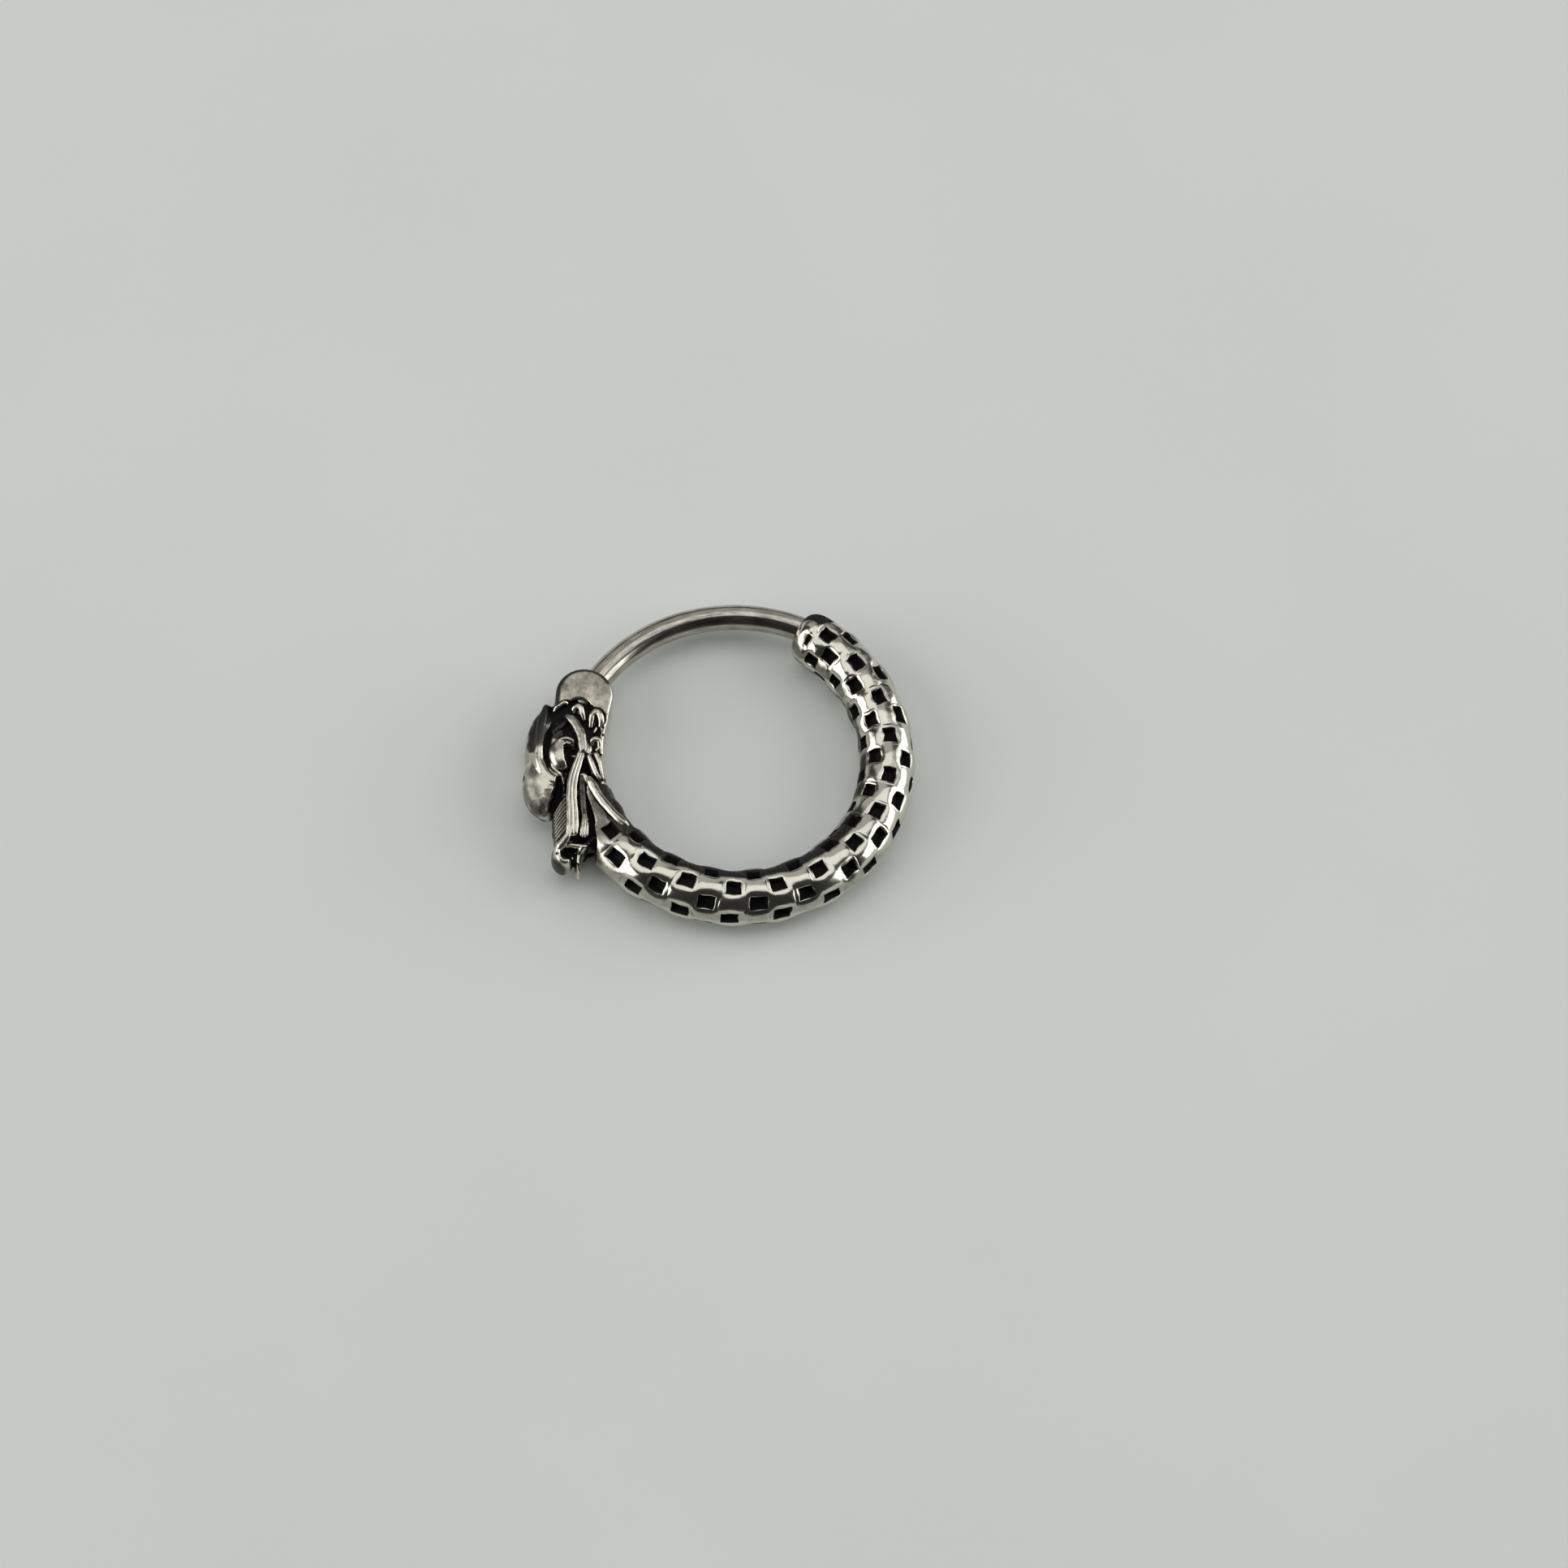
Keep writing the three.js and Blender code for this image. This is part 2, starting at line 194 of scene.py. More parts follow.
def scaled_body():
    rings = sorted([(a, 0) for a in PITS_EVEN] + [(a, 1) for a in PITS_ODD])
    knots = np.array([a for a, _ in rings])
    seams = np.concatenate([[knots[0] - 4.1], (knots[1:] + knots[:-1]) / 2, [knots[-1] + 3.7]])
    th = grid_lines(knots, PIT["half_along_deg"], MM_THETA, 209.0, 427.55, 0.95, seams=seams)
    th = np.concatenate([th, [427.62, 427.74, 427.85, 427.97]])
    tip_lines = [428.2, 428.7, 429.2, 429.45, 429.55, 429.65, 429.78, 430.0, 430.4, 430.9, 431.3]
    th = np.concatenate([th, tip_lines, TAIL_END - np.array([4.0, 3.5, 3.0, 2.5, 2.1, 1.7, 1.3, 1.0, 0.75, 0.5, 0.3, 0.15, 0.05])])
    rows = ROW0 + 36.0 * np.arange(ROWS)
    ph = grid_lines(rows, PIT["half_across_deg"], MM_PHI, ROW0 - 18.0, ROW0 + 342.0, 3.4, closed=True)
    T, P = np.meshgrid(th, ph, indexing="ij")
    # nearest ring and row of each kind
    h_pit = np.zeros_like(T)
    cav = np.zeros_like(T)
    lip = np.zeros_like(T)
    # how far the black creeps out over a pit's rim
    creep = np.clip(np.sin(T * 0.53 + np.radians(P) * 7.0) * np.sin(T * 0.31 - np.radians(P) * 4.0 + 1.0) + 0.25, 0, 1)
    for par, centres in ((0, PITS_EVEN), (1, PITS_ODD)):
        ring = np.array(centres)[np.argmin(np.abs(T[..., None] - np.array(centres)), axis=-1)]
        dt = np.abs(T - ring)
        rr = rows[par::2]
        row = rr[np.argmin(np.abs((P[..., None] - rr + 180) % 360 - 180), axis=-1)]
        dp = np.abs((P - row + 180) % 360 - 180)
        sd = np.maximum((dt - PIT["half_along_deg"]) * MM_THETA, (dp - PIT["half_across_deg"]) * MM_PHI)
        # no pits on the latch side of the tail tip
        sd = np.where((ring > 417) & (np.cos(np.radians(row)) > 0.69), 1.0, sd)
        h_pit = np.minimum(h_pit, pit_profile(sd))
        cav = np.maximum(cav, smoothstep(0.026 + 0.034 * creep, 0.004, sd))
        lip = np.maximum(lip, np.exp(-(((sd - 0.062) / 0.022) ** 2)))
    # the small upright mark near the tip
    sd = np.maximum((np.abs(T - 428.7) - 0.85) * MM_THETA, (np.abs(P - 122.0) - 11.0) * MM_PHI)
    h_pit = np.minimum(h_pit, pit_profile(sd) * 0.5)
    cav = np.maximum(cav, smoothstep(0.010, -0.004, sd))
    # pillowed blocks: low at the pits, high between them
    phase = np.pi * np.interp(T, knots, np.arange(len(knots)) + rings[0][1])
    first = np.pi * (T - knots[0]) / 8.3
    phase = np.where(T < knots[0], first, phase)
    phase = np.where(T > knots[-1], np.pi * (len(knots) - 1) + np.pi * (T - knots[-1]) / 8.3, phase)
    w = np.radians(P - ROW0) * 5.0
    pil = -np.cos(phase) * np.cos(w)
    # flatter tops and tighter valleys than a plain wave
    pil = np.sign(pil) * np.abs(pil) ** 0.8
    pil = np.where(pil < 0, pil * (1.2 + 0.4 * smoothstep(372, 395, T)), pil)
    fade = smoothstep(433.5, 428.0, T)
    h = PILLOW * (1 + 0.35 * smoothstep(385, 405, T) + 0.6 * smoothstep(255, 232, T)) * pil * fade + h_pit * smoothstep(432.4, 431.6, T) + 0.0025 * lip * fade
    # seams between one ring of scales and the next, deepest along the middle of each scale
    ds = np.min(np.abs(T[..., None] - seams), axis=-1) * MM_THETA
    si = np.argmin(np.abs(T[..., None] - seams), axis=-1)
    vary = 0.52 + 0.48 * np.sin(si * 4.1 + np.round((P - ROW0) / 36.0) * 2.3)
    seam = vary * np.sqrt(np.abs(np.cos(w))) * smoothstep(TAIL_END - 4.5, TAIL_END - 6, T)
    h -= (0.013 + 0.007 * smoothstep(368, 385, T)) * np.exp(-((ds / 0.024) ** 2)) * seam
    cav = np.maximum(cav, (0.60 + 0.16 * smoothstep(368, 385, T)) * np.exp(-((ds / 0.015) ** 2)) * np.clip(seam * 1.15, 0, 1))
    # cast surface: faint irregularity
    h += 0.004 * np.sin(np.radians(T) * 23 + np.radians(P) * 3) * np.sin(np.radians(T) * 11 - np.radians(P) * 5 + 1.0)
    # and plainer wrinkles on the tail
    h += 0.005 * smoothstep(372, 392, T) * fade * np.sin(T * 1.7 + np.radians(P) * 5) * np.sin(np.radians(P) * 9 - T * 0.6 + 0.8)
    r = BODY_BASE + h
    t = np.clip((T - TAIL_FROM) / (TAIL_END - TAIL_FROM), 0, 1)
    r = r * (1 - t ** 3.1) ** (1 / 2.6)
    # small wander of the pattern, as on a hand-finished casting
    tr, pr = np.radians(T), np.radians(P)
    bent = 0.6 + 0.4 * smoothstep(345, 385, T)       # the pits' sides are most crooked on the tail
    Tw = T + (0.26 * np.sin(6.9 * tr + 3 * pr + 1) + 0.20 * np.sin(15.3 * tr - 2 * pr) + 0.10 * np.sin(31 * tr + 7 * pr)
              + 0.24 * bent * np.sin(57 * tr + 6 * pr + 0.6) * np.sin(9 * pr + 17 * tr)) * fade
    Pw = P + 0.9 * np.sin(7.4 * tr + 2 * pr) + 0.8 * np.sin(7.3 * tr - pr + 2) + 0.7 * np.sin(23 * tr + 5 * pr) + 2.0 * bent * fade * np.sin(63 * tr + 4 * pr + 1.9) * np.sin(8 * pr - 13 * tr + 0.4)
    tr, pr = np.radians(Tw), np.radians(Pw)
    X = (RING_R + r * np.cos(pr)) * np.cos(tr)
    Y = (RING_R + r * np.cos(pr)) * np.sin(tr)
    Z = r * np.sin(pr) * (0.78 + 0.22 * smoothstep(214, 238, T))
    n, m = T.shape
    V = np.stack([X, Y, Z], -1).reshape(-1, 3)
    cavf = cav.reshape(-1)
    idx = np.arange(n * m).reshape(n, m)
    a, b = idx[:-1], idx[1:]
    quads = np.stack([a, np.roll(a, -1, 1), np.roll(b, -1, 1), b], -1).reshape(-1, 4)
    # caps
    c0 = len(V)
    start = np.array([RING_R * math.cos(math.radians(209)), RING_R * math.sin(math.radians(209)), 0])
    end = np.array([RING_R * math.cos(math.radians(TAIL_END)), RING_R * math.sin(math.radians(TAIL_END)), 0])
    V = np.vstack([V, start, end])
    cavf = np.concatenate([cavf, [0, 0]])
    j = np.arange(m)
    cap0 = np.stack([np.full(m, c0), idx[0][(j + 1) % m], idx[0][j]], -1)
    cap1 = np.stack([np.full(m, c0 + 1), idx[-1][j], idx[-1][(j + 1) % m]], -1)
    # darker along the inner side, and all round next to the head
    Pm = np.abs((P + 180) % 360 - 180)
    band = smoothstep(106, 117, Pm) * (1 - 0.6 * smoothstep(141, 153, Pm))
    tarnish_and_shade = band * smoothstep(349, 338, T)
    tarnish_and_shade = np.maximum(tarnish_and_shade, smoothstep(136, 150, Pm) * smoothstep(345, 352, T) * smoothstep(378, 366, T))
    tarnish_and_shade = np.maximum(tarnish_and_shade, 0.75 * smoothstep(154, 164, Pm) * smoothstep(366, 378, T) * smoothstep(402, 394, T))
    # the same inner band, blackened as well
    inner_dark = np.maximum(band * smoothstep(349, 338, T), 0.8 * smoothstep(136, 150, Pm) * smoothstep(345, 352, T) * smoothstep(378, 366, T))
    cavf = np.maximum(cavf, np.concatenate([0.47 * inner_dark.reshape(-1), [0, 0]]))
    tarnish_and_shade = np.maximum(tarnish_and_shade, 0.6 * smoothstep(140, 150, Pm) * (1 - smoothstep(168, 178, Pm)) * smoothstep(395, 402, T))
    # painted shade: the outer lower side darkened where it reflects the shadowed floor just in front
    tarnish_and_shade = np.maximum(tarnish_and_shade, 0.42 * smoothstep(2, 14, Pm) * smoothstep(44, 30, Pm) * smoothstep(350, 330, T))
    tarnish_and_shade = np.maximum(tarnish_and_shade, smoothstep(92, 104, Pm) * smoothstep(240, 234, T))
    tarnish_and_shade = np.maximum(tarnish_and_shade, 0.62 * smoothstep(235, 227, T))
    # painted shade: the top of the right arm and tail darkened where it reflects less of the top light
    tarnish_and_shade = np.maximum(tarnish_and_shade, 0.40 * smoothstep(56, 66, Pm) * smoothstep(94, 84, Pm) * smoothstep(350, 362, T))
    # grey skin left in the low ground about the pits
    tarnish_and_shade = np.maximum(tarnish_and_shade, (0.44 + 0.26 * smoothstep(372, 395, T)) * smoothstep(0.10, 0.95, -pil) * fade)
    # grimy outer shoulder of the tail, rough and black about the latch
    Ps = (P + 180) % 360 - 180
    edge = 46 + 34 * smoothstep(TAIL_END - 11, TAIL_END - 7, T)
    tip = smoothstep(TAIL_END - 14.5, TAIL_END - 10.5, T) * smoothstep(edge + 6, edge - 8, Ps) * smoothstep(-60, -40, Ps)
    tarnish_and_shade = np.maximum(tarnish_and_shade, np.maximum(tip, 0.5 * smoothstep(40, 24, np.abs(Ps)) * smoothstep(380, 400, T)))
    cavf = np.maximum(cavf, np.concatenate([0.60 * tip.reshape(-1), [0, 0]]))
    tarnish_and_shade = np.concatenate([np.clip(tarnish_and_shade, 0, 1).reshape(-1), [0, 0]])
    # the outer half of the tail, and the start by the head, less polished
    sat = np.maximum(0.14 * smoothstep(376, 394, T) * smoothstep(98, 82, Pm), 0.30 * smoothstep(242, 230, T))
    sat = np.concatenate([sat.reshape(-1), [0, 0]])
    ob = make_mesh("scaled_body", V, [quads, np.vstack([cap0, cap1])], {"cavity": cavf, "satin": sat, "tarnish_and_painted_shade": tarnish_and_shade})
    return ob


# ------------------------------------------------------------------ distance field for the head
def smin(a, b, k):
    if k <= 0:
        return np.minimum(a, b)
    h = np.clip(0.5 + 0.5 * (b - a) / k, 0, 1)
    return b * (1 - h) + a * h - k * h * (1 - h)


def smax(a, b, k):
    return -smin(-a, -b, k)


class Field:
    """a signed distance field on a grid over z >= 0, mirrored at the end"""

    def __init__(self, lo, hi, h):
        self.h = h
        self.x = np.arange(lo[0], hi[0], h, dtype=np.float32)
        self.y = np.arange(lo[1], hi[1], h, dtype=np.float32)
        self.z = (np.arange(int(hi[2] / h)) + 0.5).astype(np.float32) * h
        self.v = np.full((len(self.x), len(self.y), len(self.z)), 0.35, np.float32)

    def window(self, lo, hi, margin=0.34):
        s = []
        for ax, l, u in ((self.x, lo[0], hi[0]), (self.y, lo[1], hi[1]), (self.z, lo[2], hi[2])):
            i = np.searchsorted(ax, l - margin)
            j = np.searchsorted(ax, u + margin)
            s.append(slice(i, max(i + 1, j)))
        return tuple(s)

    def coords(self, w):
        return self.x[w[0]][:, None, None], self.y[w[1]][None, :, None], self.z[w[2]][None, None, :]

    def add(self, fn, lo, hi, k=0.0):
        w = self.window(lo, hi)
        self.v[w] = smin(self.v[w], fn(*self.coords(w)).astype(np.float32), k)

    def cut(self, fn, lo, hi, k=0.0):
        w = self.window(lo, hi)
        self.v[w] = smax(self.v[w], -fn(*self.coords(w)).astype(np.float32), k)


def ellipsoid(c, r, turn=0.0):
    ca, sa = math.cos(math.radians(turn)), math.sin(math.radians(turn))

    def fn(x, y, z):
        dx, dy, dz = x - c[0], y - c[1], z - c[2]
        px, py = dx * ca + dy * sa, -dx * sa + dy * ca
        k0 = np.sqrt((px / r[0]) ** 2 + (py / r[1]) ** 2 + (dz / r[2]) ** 2) + 1e-6
        k1 = np.sqrt((px / r[0] ** 2) ** 2 + (py / r[1] ** 2) ** 2 + (dz / r[2] ** 2) ** 2) + 1e-6
        return k0 * (k0 - 1) / k1
    R = max(r[0], r[1])
    return fn, (c[0] - R, c[1] - R, c[2] - r[2]), (c[0] + R, c[1] + R, c[2] + r[2])


def catmull(rows, per=5):
    p = np.array(rows, float)
    q = np.vstack([2 * p[0] - p[1], p, 2 * p[-1] - p[-2]])
    out = []
    for i in range(1, len(q) - 2):
        for t in np.arange(per) / per:
            out.append(0.5 * ((2 * q[i]) + (-q[i - 1] + q[i + 1]) * t + (2 * q[i - 1] - 5 * q[i] + 4 * q[i + 1] - q[i + 2]) * t ** 2
                              + (-q[i - 1] + 3 * q[i] - 3 * q[i + 1] + q[i + 2]) * t ** 3))
    out.append(q[-2])
    return np.array(out)


def chain(rows, per=4, flat=1.0):
    """rounded strand through rows of x, y, z, r; flat < 1 makes its section lower than wide"""
    p = catmull(rows, per) if len(rows) > 2 else np.array(rows, float)

    def fn(x, y, z):
        best = None
        for a, b in zip(p[:-1], p[1:]):
            d = b[:3] - a[:3]
            L = float(d @ d) + 1e-9
            t = np.clip(((x - a[0]) * d[0] + (y - a[1]) * d[1] + (z - a[2]) * d[2]) / L, 0, 1)
            ex, ey, ez = x - a[0] - t * d[0], y - a[1] - t * d[1], (z - a[2] - t * d[2]) / flat
            q = np.sqrt(ex * ex + ey * ey + ez * ez) - (a[3] + t * (b[3] - a[3]))
            best = q if best is None else np.minimum(best, q)
        return best
    R = p[:, 3].max()
    pad = np.array([R, R, R * flat])
    lo, hi = p[:, :3].min(0) - pad, p[:, :3].max(0) + pad
    return fn, tuple(lo), tuple(hi)


def beside(rows, off, r, lift=0.0):
    """the same route moved sideways by off, with its own radius r (a number, or one per row)"""
    p = np.array(rows, float)
    t = np.gradient(p[:, :2], axis=0)
    t /= np.linalg.norm(t, axis=1)[:, None] + 1e-9
    nrm = np.stack([-t[:, 1], t[:, 0]], 1)
    o = np.asarray(off) * np.ones(len(p))
    q = p.copy()
    q[:, :2] += nrm * o[:, None]
    q[:, 2] += lift
    q[:, 3] = r
    return q


def fork_outline(x, y):
    """2D distance to the fork's slab: round end, sides drawn in a little towards the head"""
    ca, sa = math.cos(FORK_TURN), math.sin(FORK_TURN)
    dx, dy = x - HINGE[0], y - HINGE[1]
    px, py = dx * ca + dy * sa, -dx * sa + dy * ca
    half = EAR_R + 0.06 * np.clip(py, -1.6, 0)
    side = np.abs(px) - half
    low = -1.6 - py
    rect = np.maximum(side, low)
    circ = np.sqrt(px * px + py * py) - EAR_R
    return np.where(py > 0, circ, rect)


def fork_slot(x, y):
    """2D distance to the slot the bar's knuckle turns in, open to the bar and to the outside"""
    dx, dy = x - HINGE[0], y - HINGE[1]
    circ = np.sqrt(dx * dx + dy * dy) - FORK_BACK
    up = np.maximum(-dy - 0.0, np.abs(dx) - 3.0)
    left = np.maximum(np.maximum(dx, -dy - 0.30), -dx - 3.0)
    return np.minimum(np.minimum(circ, up), left)


def head_field(h):
    F = Field((-8.35, -6.95, 0), (-2.9, 2.15, 1.32), h)
    everywhere = ((-8.4, -7.0, 0), (-2.8, 2.2, 1.3))

    # neck: flattened tube along the ring, from the fork into the scaled body
    def neck(x, y, z):
        rho = np.sqrt(x * x + y * y)
        ang = np.degrees(np.arctan2(y, x)) % 360
        hz = 0.78 - 0.30 * smoothstep(190, 208, ang)
        k = np.sqrt(((rho - RING_R) / (0.99 - 0.27 * smoothstep(222, 231, ang))) ** 2 + (z / hz) ** 2)
        d = (k - 1) * 0.7
        return np.maximum(d, np.maximum((184.0 - ang) * 0.1, (ang - 238.0) * 0.1))
    F.add(neck, (-7.2, -5.6, 0), (-3.0, 0.3, 0.9))

    # fork slab, gently domed, with the head's lower ground cut into it under a scalloped edge
    def slab(x, y, z):
        d2 = fork_outline(x, y) + EAR_ROUND
        r2 = (x - HINGE[0]) ** 2 + np.minimum(y - HINGE[1], 0.0) ** 2 * 0.3 + np.maximum(y - HINGE[1], 0.0) ** 2
        dz = z - (EAR_TOP - 0.075 * r2) + EAR_ROUND
        return np.minimum(np.maximum(d2, dz), 0) + np.sqrt(np.maximum(d2, 0) ** 2 + np.maximum(dz, 0) ** 2) - EAR_ROUND
    F.add(slab, (-7.3, -0.9, 0), (-4.9, 1.95, 1.12), 0.04)

    def ground(x, y, z):
        d2 = None
        for cx, cy, r in SCALLOPS:
            q = np.sqrt((x - cx) ** 2 + (y - cy) ** 2) - r
            d2 = q if d2 is None else np.minimum(d2, q)
        return np.maximum(d2, 0.72 - z)
    F.cut(ground, (-7.5, -1.7, 0.7), (-4.8, 0.6, 1.3), 0.03)

    def run(table, per=4):
        for name, k, op, flat, rows in table:
            if op > 0 and flat > 1:      # a taller section keeps its crest where the row says
                rows = [(x, y, z - r * (flat - 1), r) for x, y, z, r in rows]
            fn, lo, hi = chain(rows, per, flat)
            (F.add if op > 0 else F.cut)(fn, lo, hi, k)

    # skull and muzzle, then the eye in its socket
    for row in HEAD_MASSES:
        fn, lo, hi = ellipsoid(row[1:4], row[4:7], row[7])
        F.add(fn, lo, hi, row[8])
    run(HEAD_FORM)
    for op, cx, cy, cz, rx, ry, rz, turn, k in EYE:
        fn, lo, hi = ellipsoid((cx, cy, cz), (rx, ry, rz), turn)
        (F.add if op > 0 else F.cut)(fn, lo, hi, k)
    F.cut(*chain(PUPIL, 3, 2.2), 0.012)
    F.cut(*chain([PUPIL[0], (-6.05, -1.61, 0.98, 0.12)], 3, 2.2), 0.012)

    # what carries the straps down to the mirrored side
    F.add(*chain([(x, y, 0.12, 0.17) for x, y, _, _ in HORN[1:]], 3, 4.0), 0.04)
    F.add(*chain([(x, y, 0.08, 0.11) for x, y, _, _ in BACK_HORN], 3, 5.0), 0.03)
    F.add(*chain([(x, y, 0.48, 0.09) for x, y in WHISKER_ROOT], 3, 4.0), 0.03)
    # cores of the straps, which the strands below cover
    F.add(*chain(beside(HORN, 0.0, [0.08, 0.11, 0.13, 0.14, 0.15, 0.15, 0.15, 0.15], -0.10)), 0.03)
    F.add(*chain(beside(BACK_HORN, 0.0, [0.06, 0.07, 0.08, 0.08, 0.09], -0.07)), 0.03)
    F.add(*chain([(-5.04, -4.28, 0.78, 0.07), (-4.98, -4.70, 0.80, 0.10), (-4.95, -5.00, 0.80, 0.10)]), 0.02)

    run(CURL_PARTS, 6)
    run(HEAD_DETAIL)

    # slot between the ears
    def slot(x, y, z):
        return np.maximum(fork_slot(x, y), z - FORK_SLOT)
    F.cut(slot, (-8.4, -0.6, 0), (-4.7, 2.2, 0.55), 0.03)
    return F


SCALLOPS = [  # x, y, r: the round bites that the head's curls sit in
    (-6.98, -0.42, 0.44), (-6.62, -0.12, 0.46), (-6.18, 0.02, 0.52), (-5.86, -0.05, 0.40),
    (-5.49, -0.14, 0.41), (-5.42, -0.52, 0.32),
    (-6.30, -0.80, 0.80), (-5.70, -0.95, 0.60), (-6.9, -0.95, 0.55),
]

HEAD_MASSES = [  # name, centre x y z, half sizes x y z, turn, blend
    ("cranium", -6.97, -1.28, 0.00, 1.00, 1.72, 0.86, 4, 0.10),
    ("muzzle", -6.78, -2.90, 0.00, 0.93, 1.50, 0.86, 14, 0.22),
    ("lip", -7.02, -3.20, 0.25, 0.62, 1.05, 0.52, 20, 0.15),
    ("jaw_hinge", -5.55, -1.50, 0.30, 0.45, 0.85, 0.55, 10, 0.10),
]

HEAD_FORM = [  # name, blend, +1 adds / -1 cuts, height to width, rows of x y z r
    ("brow_root", 0.06, 1, 1, [(-7.41, 0.03, 0.40, 0.2), (-7.51, -0.80, 0.42, 0.26), (-7.45, -1.62, 0.42, 0.26)]),
    ("brow", 0.07, 1, 1, [(-7.46, 0.00, 0.66, 0.13), (-7.47, -0.56, 0.72, 0.19), (-7.43, -1.13, 0.73, 0.21), (-7.37, -1.67, 0.72, 0.2), (-7.28, -2.08, 0.68, 0.18)]),
    ("brow_side", 0.05, -1, 1, [(-7.60, -0.27, 0.98, 0.07), (-7.65, -0.96, 0.98, 0.09), (-7.63, -1.69, 0.95, 0.09), (-7.58, -2.15, 0.92, 0.07)]),
    ("snout_ridge", 0.08, 1, 1, [(-7.33, -1.75, 0.68, 0.17), (-7.27, -2.25, 0.70, 0.19), (-7.08, -2.62, 0.70, 0.20), (-6.87, -2.93, 0.68, 0.18), (-6.76, -3.18, 0.62, 0.15)]),
    ("mane_low", 0.05, 1, 1, [(-6.08, -3.09, 0.05, 0.3), (-5.99, -3.98, 0.00, 0.34), (-5.84, -4.87, 0.00, 0.34)]),
    ("mane_core", 0.05, 1, 1, [(-5.94, -3.53, 0.42, 0.2), (-5.93, -4.12, 0.32, 0.26), (-5.88, -4.67, 0.25, 0.28), (-5.76, -5.13, 0.20, 0.28)]),
    ("mouth", 0.04, -1, 2.4, [(-6.34, -2.85, 0.90, 0.12), (-6.27, -3.19, 0.86, 0.2), (-6.26, -3.55, 0.84, 0.25), (-6.31, -3.96, 0.82, 0.25), (-6.35, -4.32, 0.78, 0.18)]),
    ("mouth_low", 0.04, -1, 2, [(-6.51, -4.07, 0.72, 0.11), (-6.43, -4.28, 0.66, 0.10)]),
    ("lip_side", 0.06, 1, 1, [(-6.85, -3.85, 0.50, 0.16), (-6.74, -4.04, 0.46, 0.15), (-6.62, -4.18, 0.40, 0.12)]),
    ("notch_a", 0.06, -1, 1.8, [(-6.62, -3.18, 0.90, 0.06), (-6.47, -3.20, 0.90, 0.10)]),
    ("notch_b", 0.06, -1, 1.8, [(-6.52, -3.63, 0.84, 0.06), (-6.34, -3.64, 0.84, 0.11)]),
    ("tooth_a", 0.06, 1, 1, [(-6.74, -3.41, 0.70, 0.12), (-6.58, -3.38, 0.70, 0.09), (-6.46, -3.34, 0.68, 0.06)]),
    ("tooth_b", 0.06, 1, 1, [(-6.70, -3.78, 0.60, 0.13), (-6.58, -3.76, 0.60, 0.10)]),
    ("nostril", 0.03, -1, 1, [(-7.69, -2.93, 0.22, 0.08), (-7.53, -3.23, 0.22, 0.07)]),
    ("socket", 0.03, -1, 1.6, [(-6.99, -0.31, 0.98, 0.1), (-7.04, -0.73, 0.92, 0.11), (-7.10, -1.25, 0.88, 0.14), (-7.08, -1.76, 0.86, 0.14), (-6.96, -2.20, 0.86, 0.13)]),
    ("socket_low", 0.03, -1, 1.5, [(-6.97, -2.23, 0.88, 0.11), (-6.77, -2.59, 0.90, 0.11), (-6.45, -2.76, 0.92, 0.12), (-6.12, -2.68, 0.95, 0.12), (-5.95, -2.44, 0.98, 0.12)]),
]

